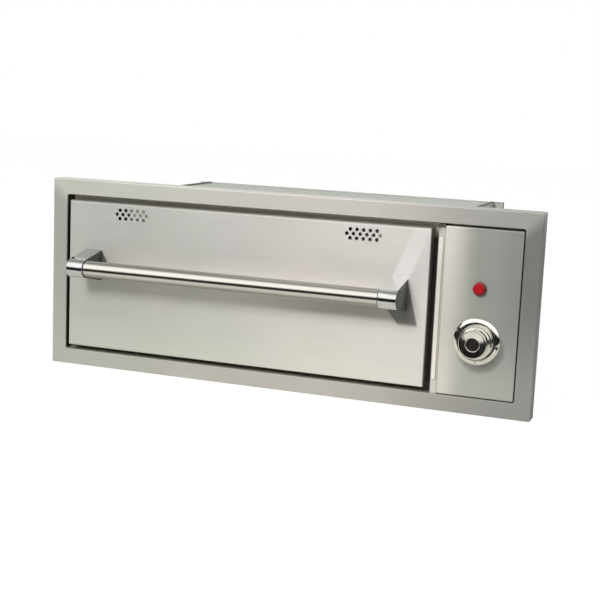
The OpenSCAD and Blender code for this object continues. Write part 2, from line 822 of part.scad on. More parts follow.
module heating_element() {
    run = function(i) [0, run_y[i], element_z];
    color("dimgray") {
        rod_x([run_left, run_y[0], element_z], element_end - run_left, element_r);
        element_bend([run_left, run_y[0] + turn_r], turn_r, 90, 180);
        rod_x([run_left, run_y[1], element_z], run_right - run_left, element_r);
        element_bend([run_right, run_y[1] + turn_r], turn_r, 270, 180);
        rod_x([run_left, run_y[2], element_z], run_right - run_left, element_r);
        element_bend([run_left, run_y[2] + turn_r], turn_r, 90, 180);
        rod_x([run_left, run_y[3], element_z], return_x - corner_r - run_left, element_r);
        element_bend([return_x - corner_r, run_y[3] - corner_r], corner_r, 0, 90);
        rod_y([return_x, exit_y + corner_r, element_z], run_y[3] - exit_y - 2 * corner_r, element_r);
        element_bend([return_x + corner_r, exit_y + corner_r], corner_r, 180, 90);
        rod_x([return_x + corner_r, exit_y, element_z], element_end - return_x - corner_r,
            element_r);
    }
    // the terminal pins
    color("silver") for (y = [run_y[0], exit_y])
        rod_x([element_end, y, element_z], element_pin_l, 2);
}

module element_bushes() {
    color("ivory") for (y = [run_y[0], exit_y]) difference() {
        union() {
            rod_x([cavity_x[1] + slab_gap, y, element_z], wall - slab_gap, bush_outer_r);
            rod_x([casing_x[1], y, element_z], 3, bush_outer_r + 3);
        }
        rod_x([cavity_x[1], y, element_z], wall + 3 + past, element_r);
    }
}

module element_brackets() {
    first = run_y[0] - bracket_past;
    last = run_y[3] + bracket_past;
    color("silver") for (x = bracket_x) difference() {
        union() {
            block([x, first, cavity_z[0]], [x + bracket_t, last, cavity_z[0] + bracket_h]);
            block([x, first, cavity_z[0]], [x + bracket_foot, last, cavity_z[0] + bracket_t]);
        }
        for (y = run_y) rod_x([x - past, y, element_z], bracket_t + 2 * past, element_r);
    }
}

module heat_baffle() {
    t = 1;
    turn_down = 8;
    margin = 14;
    before_runs = 30;
    after_runs = 60;
    hole_r = 6;
    hole_step = 46;
    bare = 2 * 20;
    low = [cavity_x[0] + margin, run_y[0] - before_runs, cavity_z[0] + bracket_h];
    high = [cavity_x[1] - margin, run_y[3] + after_runs, low.z + t];
    count = [floor((high.x - low.x - bare) / hole_step), floor((high.y - low.y - bare) / hole_step)];
    middle = (low + high) / 2;
    color("gray") difference() {
        block([low.x, low.y, low.z - turn_down], high);
        block([low.x - past, low.y + t, low.z - turn_down - past],
            [high.x + past, high.y - t, low.z]);
        for (i = [0 : count.x], j = [0 : count.y])
            translate([middle.x + (i - count.x / 2) * hole_step,
                middle.y + (j - count.y / 2) * hole_step, low.z - past])
                cylinder(h = t + 2 * past, r = hole_r);
    }
}

// ---- Slides -------------------------------------------------------------------------------

// One rail: its web starts web_s from the wall, its flanges reach from flange_s[0] to [1]
module rail(web_s, half_h, flange_s) {
    wall_x = cavity_w / 2;
    block([wall_x - web_s - slide_t, slide_y[0], slide_z - half_h],
        [wall_x - web_s, slide_y[1], slide_z + half_h]);
    for (z = [slide_z - half_h, slide_z + half_h - slide_t])
        block([wall_x - flange_s[1], slide_y[0], z], [wall_x - flange_s[0], slide_y[1], z + slide_t]);
}

module slide_outer(side) {
    color("lightsteelblue") on_side(side) rail(0, outer_h, [0, outer_end]);
}

module slide_mid(side) {
    color("lightsteelblue") on_side(side) rail(mid_s, mid_h, [mid_s, mid_end]);
}

module slide_inner(side) {
    color("lightsteelblue") on_side(side)
        rail(slide_side - slide_t, inner_h, [inner_s, slide_side]);
}

// A ball cage and its balls: a thin web with two arms that hold the balls
module cage(side, web_s, ball_s, lane_h) {
    wall_x = cavity_w / 2;
    middle = (slide_y[0] + slide_y[1]) / 2;
    count = floor((cage_l - 2 * ball_d) / ball_pitch);
    reach = ball_s + ball_d / 2 + 0.5;
    color("goldenrod") on_side(side) difference() {
        union() {
            block([wall_x - web_s - cage_t, middle - cage_l / 2, slide_z - lane_h - cage_arm / 2],
                [wall_x - web_s, middle + cage_l / 2, slide_z + lane_h + cage_arm / 2]);
            for (up = [-1, 1])
                block([wall_x - reach, middle - cage_l / 2, slide_z + up * lane_h - cage_arm / 2],
                    [wall_x - web_s, middle + cage_l / 2, slide_z + up * lane_h + cage_arm / 2]);
        }
        for (i = [0 : count], up = [-1, 1])
            translate([wall_x - ball_s, middle + (i - count / 2) * ball_pitch,
                slide_z + up * lane_h - cage_arm]) cylinder(h = 2 * cage_arm, r = ball_d / 2 + 0.1);
    }
    color("silver") on_side(side) for (i = [0 : count], up = [-1, 1])
        translate([wall_x - ball_s, middle + (i - count / 2) * ball_pitch, slide_z + up * lane_h])
            sphere(ball_d / 2);
}

module cage_outer(side) {
    cage(side, cage_s1, ball_s1, (outer_h - slide_t + mid_h) / 2);
}

module cage_inner(side) {
    cage(side, cage_s2, ball_s2, (mid_h - slide_t + inner_h) / 2);
}

// ---- Drawer front -------------------------------------------------------------------------

// The holes of one vent: a middle row and two rows that are shifted by half a pitch
module vent_holes(x) {
    for (row = [-1 : 1], i = [0 : vent_cols - 1 - abs(row)])
        rod_y([drawer_x + x + (i - (vent_cols - 1 - abs(row)) / 2) * vent_pitch,
            skin_front - past, vent_z + row * vent_row_step], front_t + 2 * past, vent_d / 2);
}

module each_handle_screw() {
    for (side = [-1, 1], up = [-1, 1])
        translate([drawer_x + side * (handle_span - sleeve_l) / 2, 0,
            handle_z + up * handle_screw_step]) children();
}

module front_skin() {
    color("silver") difference() {
        round_front_block(skin_low, skin_high, front_edge_r);
        round_front_block(skin_low + [front_t, front_t, front_t],
            skin_high - [front_t, front_t, front_t], front_edge_r - front_t);
        block([skin_low.x + skin_lip, skin_rear - front_t - past, skin_low.z + skin_lip],
            [skin_high.x - skin_lip, skin_rear + past, skin_high.z - skin_lip]);
        vent_holes(vent_left_x);
        vent_holes(vent_right_x);
        each_handle_screw() rod_y([0, skin_front - past, 0], front_t + 2 * past,
            handle_screw_r + screw_play);
    }
}

// The windows let the warm air out and the shutters' grips through
function shutter_rest(side) = side < 0 ? shutter_rest_left : shutter_rest_right;
function vent_x(side) = drawer_x + (side < 0 ? vent_left_x : vent_right_x);
function grip_x(side) = vent_x(side) - grip_offset;

module front_back_plate() {
    color("lightgray") difference() {
        block([skin_low.x + plate_inset, skin_rear, skin_low.z + plate_inset],
            [skin_high.x - plate_inset, plate_rear, skin_high.z - plate_inset]);
        for (side = [-1, 1])
            block([grip_x(side) - tab_w, skin_rear - past, tab_z - slot_h / 2],
                [grip_x(side) + shutter_travel + tab_w, plate_rear + past, tab_z + slot_h / 2]);
        tub_screw_shanks(screw_r + screw_play);
    }
}

module front_insulation() {
    inset = front_t + seat;
    color("khaki") block([skin_low.x + inset, insulation_front, skin_low.z + inset],
        [skin_high.x - inset, skin_rear - front_t - seat, tab_z - slot_h / 2 - 2]);
}

module door_gasket() {
    inner = liner_flange - gasket_w;
    color("black") difference() {
        block([cavity_x[0] - liner_flange, plate_rear, cavity_z[0] - liner_flange],
            [cavity_x[1] + liner_flange, liner_front - seat, cavity_z[1] + liner_flange]);
        block([cavity_x[0] - inner, plate_rear - past, cavity_z[0] - inner],
            [cavity_x[1] + inner, liner_front + past, cavity_z[1] + inner]);
    }
}

module vent_guides() {
    half = shutter_h / 2 + seat;
    color("gray") for (side = [-1, 1], up = [-1, 1]) {
        left = vent_x(side) - shutter_w / 2 - guide_over;
        right = vent_x(side) + shutter_w / 2 + shutter_travel + guide_over;
        edge = vent_z + up * half;
        edge_out = edge + up * guide_t;
        lip_in = edge - up * (seat + shutter_margin / 2);
        block([left, skin_back, min(edge, edge_out)],
            [right, guide_y + guide_t, max(edge, edge_out)]);
        block([left, guide_y, min(lip_in, edge_out)],
            [right, guide_y + guide_t, max(lip_in, edge_out)]);
    }
}

module vent_shutter(side) {
    x = vent_x(side) + shutter_rest(side);
    tab_x = x - grip_offset;
    bridge_z = [vent_z - 4, vent_z + 4];
    color("darkgray") {
        block([x - shutter_w / 2, shutter_y, vent_z - shutter_h / 2],
            [x + shutter_w / 2, shutter_y + shutter_t, vent_z + shutter_h / 2]);
        block([tab_x - tab_w / 2, shutter_y + shutter_t, bridge_z[0]],
            [tab_x + tab_w / 2, tab_y, bridge_z[1]]);
        block([tab_x - tab_w / 2, tab_y, tab_z - tab_w / 2],
            [tab_x + tab_w / 2, tab_y + 1, bridge_z[1]]);
        rod_y([tab_x, tab_y + 1, tab_z], plate_rear + 2 - tab_y - 1, pin_r);
        rod_y([tab_x, plate_rear + 2, tab_z], 7, grip_r);
    }
}

// ---- Handle -------------------------------------------------------------------------------

module handle_bar() {
    length = handle_span - 2 * (sleeve_l - bar_socket);
    start = [drawer_x - length / 2, bar_y, handle_z];
    color("lightgray") difference() {
        rod_x(start, length, bar_d / 2);
        rod_x(start - [past, 0, 0], length + 2 * past, bar_d / 2 - bar_wall);
    }
}

// A post: a sleeve round the bar's end and a wedge that widens to the drawer front
module handle_post(side) {
    half_foot = post_foot_h / 2;
    reach = handle_standoff;
    away = norm([reach, half_foot]);
    // the wedge's faces touch the sleeve where they are tangent to it
    turn = asin(sleeve_r / away) + 90 - atan2(half_foot, reach) - 90;
    lift = [cos(90 - turn), sin(90 - turn)] * sleeve_r;
    color("gainsboro") translate([drawer_x, 0, 0]) difference() {
        translate([side < 0 ? -handle_span / 2 : handle_span / 2 - sleeve_l, skin_front, handle_z])
            rotate([0, 90, 0]) linear_extrude(sleeve_l) union() {
                translate([0, -reach]) circle(sleeve_r);
                polygon([[-half_foot, 0], [-lift.y, -reach - lift.x], [lift.y, -reach - lift.x],
                    [half_foot, 0]]);
            }
        rod_x([side < 0 ? -handle_span / 2 + sleeve_l - bar_socket : handle_span / 2 - sleeve_l - past,
            bar_y, handle_z], bar_socket + past, bar_d / 2);
        translate([-drawer_x, 0, 0]) each_handle_screw()
            rod_y([0, skin_front - handle_screw_l - 2, 0], handle_screw_l + 2 + past, handle_screw_r);
    }
}

module handle_plates() {
    x_step = (handle_span - sleeve_l) / 2;
    color("gray") difference() {
        for (side = [-1, 1])
            block([drawer_x + side * x_step - backing_size[0] / 2, skin_back,
                handle_z - backing_size[1] / 2],
                [drawer_x + side * x_step + backing_size[0] / 2, skin_back + backing_t,
                handle_z + backing_size[1] / 2]);
        each_handle_screw() rod_y([0, skin_back - past, 0], backing_t + 2 * past,
            handle_screw_r + screw_play);
    }
}

module handle_screws() {
    color("silver") each_handle_screw() {
        rod_y([0, skin_front - handle_screw_l, 0], handle_screw_l + front_t + backing_t,
            handle_screw_r);
        rod_y([0, skin_back + backing_t, 0], handle_screw_head[1], handle_screw_head[0]);
    }
}

// ---- Drawer tub ---------------------------------------------------------------------------

// A rectangle with round corners
module round_rectangle(low, high, r) {
    size = high - low;
    translate([low.x, low.y + r]) square([size.x, size.y - 2 * r]);
    translate([low.x + r, low.y]) square([size.x - 2 * r, size.y]);
    for (x = [low.x + r, high.x - r], y = [low.y + r, high.y - r]) translate([x, y]) circle(r);
}

module drawer_tub() {
    low = [drawer_x - tub_w / 2, tub_y[0]];
    high = [drawer_x + tub_w / 2, tub_y[1]];
    t = [tub_t, tub_t];
    color("silver") difference() {
        union() {
            translate([0, 0, tub_z[0]]) linear_extrude(tub_h)
                round_rectangle(low, high, tub_corner_r);
            translate([0, 0, tub_z[1] - tub_t]) linear_extrude(tub_t)
                round_rectangle(low - [tub_rim, 0], high + [tub_rim, tub_rim], tub_corner_r);
        }
        translate([0, 0, tub_z[0] + tub_t]) linear_extrude(tub_h)
            round_rectangle(low + t, high - t, tub_corner_r - tub_t);
        // the front wall is lower, so that fingers reach the shutters' grips
        block([low.x + tub_corner_r, low.y - past, tab_z - finger_room],
            [high.x - tub_corner_r, low.y + tub_t + past, tab_z + finger_room]);
        tub_screw_shanks(screw_r + screw_play);
    }
}

module each_tub_screw() {
    for (share = [-0.35, 0, 0.35], z = tub_screw_z)
        translate([drawer_x + share * tub_w, plate_rear, z]) children();
}

module tub_screw_shanks(r) {
    each_tub_screw() rod_y([0, -plate_t - past, 0], plate_t + tub_t + 2 * past, r);
}

module tub_screws() {
    color("silver") each_tub_screw() {
        rod_y([0, -plate_t, 0], plate_t + tub_t, screw_r);
        rod_y([0, tub_t, 0], head_h, head_r);
    }
}

module wire_rack() {
    floor_z = tub_z[0] + tub_t;
    low = [drawer_x - tub_w / 2 + tub_t + rack_gap, tub_y[0] + tub_t + rack_gap];
    high = [drawer_x + tub_w / 2 - tub_t - rack_gap, tub_y[1] - tub_t - rack_gap];
    wire_z = floor_z + 2 * rack_bar_r + rack_wire_d / 2 - 1;
    bars = 3;
    count = floor((high.x - low.x - 2 * tub_corner_r) / rack_pitch);
    color("silver") {
        for (i = [0 : bars - 1])
            rod_x([low.x, low.y + tub_corner_r + i * (high.y - low.y - 2 * tub_corner_r) / (bars - 1),
                floor_z + rack_bar_r], high.x - low.x, rack_bar_r);
        for (i = [0 : count])
            rod_y([drawer_x + (i - count / 2) * rack_pitch, low.y, wire_z],
                high.y - low.y, rack_wire_d / 2);
    }
}

trim_frame();
bulkhead();
mullion();
mullion_strip();
control_panel();
knob_bezel();
indicator_lens();
indicator_body();
thermostat_body();
capillary_bulb();
bulb_clips();
control_box();
terminal_block();
cable_gland();
wiring();
casing();
base_pan();
rear_panel();
rear_screws();
cavity_liner();
insulation_top();
insulation_bottom();
insulation_left();
insulation_right();
insulation_rear();
heating_element();
element_bushes();
element_brackets();
heat_baffle();
slide_outer(-1);  // slide_outer_left
slide_outer(1);  // slide_outer_right
front_skin();
front_back_plate();
front_insulation();
door_gasket();
vent_guides();
handle_bar();
handle_post(-1);  // handle_post_left
handle_post(1);  // handle_post_right
handle_plates();
handle_screws();
drawer_tub();
tub_screws();
wire_rack();
slide_inner(-1);  // slide_inner_left
slide_inner(1);  // slide_inner_right
slide_mid(-1);  // slide_mid_left
slide_mid(1);  // slide_mid_right
cage_outer(-1);  // cage_outer_left
cage_outer(1);  // cage_outer_right
cage_inner(-1);  // cage_inner_left
cage_inner(1);  // cage_inner_right
vent_shutter(-1);  // vent_shutter_left
vent_shutter(1);  // vent_shutter_right
knob();
knob_cap();
thermostat_shaft();
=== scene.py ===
# %% [markdown]
# # A built-in warming drawer
# This lesson dresses an exact model of a built-in warming drawer: a trim frame of brushed steel,
# a drawer with a bar handle, and a control panel with a lamp and a chrome thermostat knob.
# The exact model arrives as a fixed frame. Some of its nodes only get a finish. The ones that the
# eye goes to are replaced by pieces with folded edges, rings and grooves.

# %% Loading the frame
import json
import math

import bmesh
import bpy
from mathutils import Matrix, Vector


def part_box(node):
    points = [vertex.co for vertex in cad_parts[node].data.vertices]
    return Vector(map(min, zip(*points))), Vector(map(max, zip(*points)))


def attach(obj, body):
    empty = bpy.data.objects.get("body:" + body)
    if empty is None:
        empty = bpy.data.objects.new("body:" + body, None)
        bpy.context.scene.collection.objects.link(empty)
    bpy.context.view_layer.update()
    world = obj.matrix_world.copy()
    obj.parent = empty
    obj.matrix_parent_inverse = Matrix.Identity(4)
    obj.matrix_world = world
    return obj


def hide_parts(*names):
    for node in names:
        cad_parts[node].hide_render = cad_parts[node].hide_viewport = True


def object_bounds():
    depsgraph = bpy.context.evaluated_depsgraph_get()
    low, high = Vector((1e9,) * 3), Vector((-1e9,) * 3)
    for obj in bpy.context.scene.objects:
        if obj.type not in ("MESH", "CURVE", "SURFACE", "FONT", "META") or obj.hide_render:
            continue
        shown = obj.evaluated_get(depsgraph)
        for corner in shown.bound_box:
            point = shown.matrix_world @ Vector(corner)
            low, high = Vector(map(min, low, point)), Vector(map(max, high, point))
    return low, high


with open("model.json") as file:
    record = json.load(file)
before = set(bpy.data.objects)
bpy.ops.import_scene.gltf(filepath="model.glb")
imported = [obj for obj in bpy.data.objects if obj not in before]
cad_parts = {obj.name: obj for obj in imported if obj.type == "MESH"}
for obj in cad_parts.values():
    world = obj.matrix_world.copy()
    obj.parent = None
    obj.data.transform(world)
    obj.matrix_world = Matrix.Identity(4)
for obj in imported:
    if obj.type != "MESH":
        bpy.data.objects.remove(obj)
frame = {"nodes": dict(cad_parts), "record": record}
scene = bpy.context.scene
cad_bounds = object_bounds()
MM = 0.001

# %% [markdown]
# ## The camera
# The photograph was taken from the right and a little above. The lens, the place and the tilt were
# solved from the corners of the frame, the drawer and the panel, so a piece that is right in
# millimetres also lands on the right spot of the picture. A camera could be aimed by eye instead,
# but then every error of aim would look like an error of shape.

# %% The photograph's viewpoint
camera_data = bpy.data.cameras.new("photo_camera")
camera_data.lens = 75.63
camera_data.sensor_width = 36
camera_data.sensor_fit = "HORIZONTAL"
camera_data.clip_start = 0.02
camera = bpy.data.objects.new("photo_camera", camera_data)
camera.location = (0.6526, -1.9705, 0.4087)
camera.rotation_euler = [math.radians(turn) for turn in (80.651, -2.465, 20.249)]
scene.collection.objects.link(camera)
scene.camera = camera
scene.view_settings.view_transform = "Standard"
print("camera with a lens of", camera_data.lens, "mm")

# %% [markdown]
# ## Shader maths as expressions
# A node tree is a set of boxes and wires. Written out, one line of arithmetic becomes ten lines of
# wiring, so two small classes do it. A `Value` is an output socket that can be added and
# multiplied, and a `Finish` is a tree with one method that makes any node, and a few short ones
# for the combinations that come back.

# %% Two small classes for node trees
class Value:
    """An output socket that can stand in an expression."""

    def __init__(self, finish, socket):
        self.finish, self.socket = finish, socket

    def math(self, operation, other=0.0, swapped=False):
        pair = (other, self) if swapped else (self, other)
        return self.finish.node("Math", dict(enumerate(pair)), operation=operation)

    def __add__(self, other): return self.math("ADD", other)
    def __sub__(self, other): return self.math("SUBTRACT", other)
    def __mul__(self, other): return self.math("MULTIPLY", other)
    def __truediv__(self, other): return self.math("DIVIDE", other)
    def __pow__(self, other): return self.math("POWER", other)
    def __rsub__(self, other): return self.math("SUBTRACT", other, True)
    def __abs__(self): return self.math("ABSOLUTE")
    __rmul__ = __mul__


class Finish:
    """A node tree and its coordinates. One method makes any node, sets it up and wires it."""

    def __init__(self, tree, coordinates="Object"):
        self.tree = tree
        tree.nodes.clear()
        self.places = self.node("TexCoord", output=coordinates)

    def node(self, kind, sockets=None, output=0, **settings):
        made = self.tree.nodes.new("ShaderNode" + kind)
        for name, value in settings.items():
            setattr(made, name, value)
        for name, value in (sockets or {}).items():
            if isinstance(name, int):
                socket = made.inputs[name]
            else:
                socket = next(s for s in made.inputs if s.name == name and s.enabled)
            if isinstance(value, Value):
                self.tree.links.new(value.socket, socket)
            elif socket.type == "RGBA":
                socket.default_value = (*value, 1)
            else:
                socket.default_value = value
        outputs = [s for s in made.outputs if s.enabled]
        if not outputs:
            return None
        return Value(self, outputs[output] if isinstance(output, int) else made.outputs[output])

    def split(self, vector=None):
        """The three parts of a vector, or of the coordinates."""
        made = self.node("SeparateXYZ", {0: vector or self.places}).socket.node
        return [Value(self, socket) for socket in made.outputs]

    def mix(self, share, first, second, blend="MIX"):
        return self.node("Mix", {"Factor": share, "A": first, "B": second},
                         data_type="RGBA", blend_type=blend)

    def darker(self, share, tone):
        """The tone, taken towards black by a share."""
        return self.mix(share, tone, (0, 0, 0))

    def shaded(self, tone, shade):
        """The tone times one grey level."""
        grey = self.node("CombineColor", {0: shade, 1: shade, 2: shade})
        return self.mix(1.0, tone, grey, "MULTIPLY")

    def step(self, value, low, high, start=0.0, end=1.0):
        return self.node("MapRange", {"Value": value, "From Min": low, "From Max": high,
                                      "To Min": start, "To Max": end},
                         interpolation_type="SMOOTHSTEP")

    def band(self, value, rise, fall):
        """1 between rise and fall, and 0 outside them. Each is a (from, to)."""
        return self.step(value, *rise) * self.step(value, *fall, 1.0, 0.0)

    def noise(self, scale, detail=2.0, stretch=(1, 1, 1), roughness=0.5):
        stretched = self.node("Mapping", {"Vector": self.places, "Scale": stretch})
        return self.node("TexNoise", {"Vector": stretched, "Scale": scale, "Detail": detail,
                                      "Roughness": roughness})


def rgb(red, green, blue):
    """A colour as a screen shows it, 0 to 255, turned to the linear values that shaders use."""
    return tuple((c / 255 / 12.92) if c <= 10 else ((c / 255 + 0.055) / 1.055) ** 2.4
                 for c in (red, green, blue))


def middle_of(node):
    """The middle of a node's box."""
    low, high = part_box(node)
    return [(a + b) / 2 for a, b in zip(low, high)]


print("mid grey is", round(rgb(128, 128, 128)[0], 3), "in linear light")

# %% [markdown]
# ## Floor, background and light
# The photograph has a plain white background, and its steel is grey and dark in places, so the
# steel mirrors a darker room. The camera's rays see white, and the metal's rays see something
# else: a floor that is lit near the object only. A light path node tells the two kinds of ray
# apart. The floor keeps a share of its paint, which holds the shadow.

# %% The floor
FLOOR_Z = cad_bounds[0][2]
FLOOR_SIZE = 14.0
FLOOR_LIFT = 0.88       # how much of the floor's look to the camera is plain white
FLOOR_WHITE = 1.10      # strength of that white, so that floor and backdrop meet
LIT_TO = -0.64          # metal sees the floor lit no further forward than this, in metres
LIT_BLUR = 0.05
PALE_PAINT, DARK_PAINT = (0.90, 0.89, 0.85), (0.02, 0.02, 0.02)
BELOW_FEET = 0.2 * MM   # keeps the floor from flickering through the lowest faces

floor_mesh = bmesh.new()
bmesh.ops.create_grid(floor_mesh, x_segments=8, y_segments=8, size=FLOOR_SIZE / 2,
                      matrix=Matrix.Translation((0, 0, FLOOR_Z - BELOW_FEET)))
floor_data = bpy.data.meshes.new("studio_floor")
floor_mesh.to_mesh(floor_data)
floor_mesh.free()
floor = bpy.data.objects.new("studio_floor", floor_data)
scene.collection.objects.link(floor)

floor_material = bpy.data.materials.new("pale_floor")
floor_material.use_nodes = True
finish = Finish(floor_material.node_tree)
unlit = 1 - finish.step(finish.split()[1], LIT_TO - LIT_BLUR, LIT_TO + LIT_BLUR)
unlit = unlit * finish.node("LightPath", output="Is Glossy Ray")
paint = finish.mix(unlit, PALE_PAINT, DARK_PAINT)
matt = finish.node("BsdfDiffuse", {"Color": paint})
white = finish.node("Emission", {"Color": (1, 1, 1), "Strength": FLOOR_WHITE})
to_camera = finish.node("LightPath", output="Is Camera Ray") * FLOOR_LIFT
lifted = finish.node("MixShader", {0: to_camera, 1: matt, 2: white})
finish.node("OutputMaterial", {"Surface": lifted})
floor_data.materials.append(floor_material)
print("floor at z =", round(FLOOR_Z, 3), "m")

# %% [markdown]
# ### What the metal mirrors
# Above the horizon the room is a mid grey with one soft, bright strip overhead, which draws the
# white line along the bar. A bright wall behind lights the flat top of the housing. The same
# effect could come from big cards around the object, but a world has no edges to hide.

# %% The world
SKY_FILL = 0.26         # how brightly the world lights a matt surface
ROOM_GREY, ROOM_DARK = 0.38, 0.015      # what metal sees above the horizon, and all round
STRIP_LIGHT, WALL_LIGHT = 1.15, 1.15    # what it sees overhead, and behind the object
world = bpy.data.worlds.new("studio")
scene.world = world
world.use_nodes = True
finish = Finish(world.node_tree, "Generated")
_, back, up = finish.split()
above = finish.step(up, 0.05, 0.32)
soft_strip = above * (1 - finish.step(up, 0.72, 0.98)) * finish.step(back, -0.40, 0.0, 1.0, 0.0)
behind = finish.step(back, -0.05, 0.30) * finish.step(up, 0.22, 0.50, 1.0, 0.0)
mirrored = above * ROOM_GREY + soft_strip * STRIP_LIGHT + behind * WALL_LIGHT + ROOM_DARK
is_mirror = finish.node("LightPath", output="Is Glossy Ray")
is_camera = finish.node("LightPath", output="Is Camera Ray")
level = SKY_FILL * (1 - is_mirror) + mirrored * is_mirror
level = level * (1 - is_camera) + is_camera
background = finish.node("Background", {"Color": (1, 1, 1), "Strength": level})
finish.node("OutputWorld", {"Surface": background})
print("world fill", SKY_FILL)

# %% [markdown]
# ### Three soft boxes
# The bar's shadow falls to the lower right and has a wide, soft edge, so the key light is a large
# box, high on the left. The boxes in front are kept out of the reflections, because the world
# already draws them.

# %% The lamps
def soft_box(name, place, aim, width, height, power, mirrored=True):
    """A rectangular lamp that points from its place at a point, and that the camera can't see."""
    data = bpy.data.lights.new(name, "AREA")
    data.shape, data.size, data.size_y, data.energy = "RECTANGLE", width, height, power
    lamp = bpy.data.objects.new(name, data)
    lamp.location = place
    lamp.rotation_euler = (Vector(aim) - Vector(place)).to_track_quat("-Z", "Y").to_euler()
    lamp.visible_camera = False
    lamp.visible_glossy = mirrored
    scene.collection.objects.link(lamp)
    print(name, width, "x", height, "m,", power, "W")


soft_box("key_box", (-0.38, -2.40, 1.44), (0.15, -0.26, 0.13), 0.66, 0.62, 54, mirrored=False)
soft_box("front_box", (-0.35, -1.45, 1.55), (0.0, -0.20, 0.10), 1.2, 0.6, 4, mirrored=False)
soft_box("top_box", (0.1, 0.35, 1.7), (0.0, 0.0, 0.1), 1.6, 1.2, 2)

# %% [markdown]
# ## Brushed and polished steel
# Brushed sheet is steel that an abrasive belt has scratched in one direction. A stretched noise is
# its grain: it changes the colour a little, the roughness a little more, and tips the surface by
# a hair. Object coordinates place it, so that it keeps its size on every piece and stays put when
# the piece moves. Slow, faint changes of tone over a sheet come from rolling and handling.

# %% Steel finishes
def new_finish(name):
    material = bpy.data.materials.new(name)
    material.use_nodes = True
    return material, Finish(material.node_tree)


def close(made, colour, roughness, bump=None, bump_height=None, **constants):
    """Ends a finish in one Principled shader. The constants are set on its own sockets."""
    sockets = {"Base Color": colour, "Roughness": roughness}
    sockets.update({name.replace("_", " "): value for name, value in constants.items()})
    if bump is not None:
        sockets["Normal"] = made.node("Bump", {"Height": bump, "Distance": bump_height,
                                               "Strength": 1.0})
    shader = made.node("BsdfPrincipled", sockets)
    made.node("OutputMaterial", {"Surface": shader})


def painted(made, tone):
    """A tone is a colour, or a function that paints one from the coordinates."""
    return tone(made) if callable(tone) else tone


GRAIN_ALONG_X = (5, 420, 420)
GRAIN_ALONG_Y = (420, 5, 420)
GRAIN_ALONG_Z = (420, 420, 5)
SCRATCH = 0.01 * MM     # depth of the grain


def brushed(name, tone, roughness, grain=GRAIN_ALONG_X, depth=0.05, metallic=1.0):
    """Steel brushed one way."""
    material, made = new_finish(name)
    lines = made.noise(1.0, 3.0, grain, 0.6)
    broad = made.noise(9.0)
    shade = lines * (2 * depth) + (broad - 0.5) * 0.10 + (1 - depth)
    close(made, made.shaded(painted(made, tone), shade),
          (lines - 0.5) * 0.14 + (broad - 0.5) * 0.06 + roughness, lines, SCRATCH,
          Metallic=metallic)
    return material


def wiped(made, tone, wiped_tone):
    """Faint wiping marks, and the tone that they give to a plated surface."""
    marks = made.noise(60.0, 4.0, (1, 1, 3))
    return marks, made.mix(made.step(marks, 0.35, 0.75, 0, 0.25), tone, wiped_tone)


def polished(name, tone):
    """Plated or buffed steel: nearly a mirror, with faint wiping marks."""
    material, made = new_finish(name)
    marks, colour = wiped(made, tone, rgb(170, 172, 168))
    close(made, colour, made.step(marks, 0.3, 0.8, 0.05, 0.11), Metallic=1.0)
    return material


print("steel finishes ready")

# %% [markdown]
# ### The drawer front's tone
# The drawer front's colour holds painted reflection of the room: it goes from a cool grey at its
# left end to a warmer, brighter steel at its right, and is a little greener below the bar. A
# painted highlight runs up from the right post, and a painted reflection and shadow of the left
# post's end lies beside its foot. A band of painted shadow lies under the bar, and a wedge of
# painted shadow and reflection under the right post. Cards could cast them, but would fall on
# other pieces too, so they are painted on the sheet.

# %% The sheets at the front
skin_low, skin_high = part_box("front_skin")
panel_low, panel_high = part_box("control_panel")
frame_low, frame_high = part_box("trim_frame")
frame_middle = middle_of("trim_frame")
BORDER = 24 * MM                            # width of the frame's face
POST_Z = middle_of("handle_post_right")[2]
LEFT_POST_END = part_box("handle_post_left")[1][0]
VENT_Z = skin_high[2] - 16.6 * MM           # middle row of the vents' holes
FOOT_HALF = 24 * MM                         # half the height of a post's foot
# a painted highlight: the glare that the right post throws up the sheet
HIGHLIGHT_X, HIGHLIGHT_Z = 0.1850, 0.154          # the streak's lower end
HIGHLIGHT_LEAN = 0.41                          # how far it leans to the right as it rises
APEX_X, APEX_Z = 0.1965, 0.1555             # the wedge's upper corner
WEDGE_LEAN = 0.27


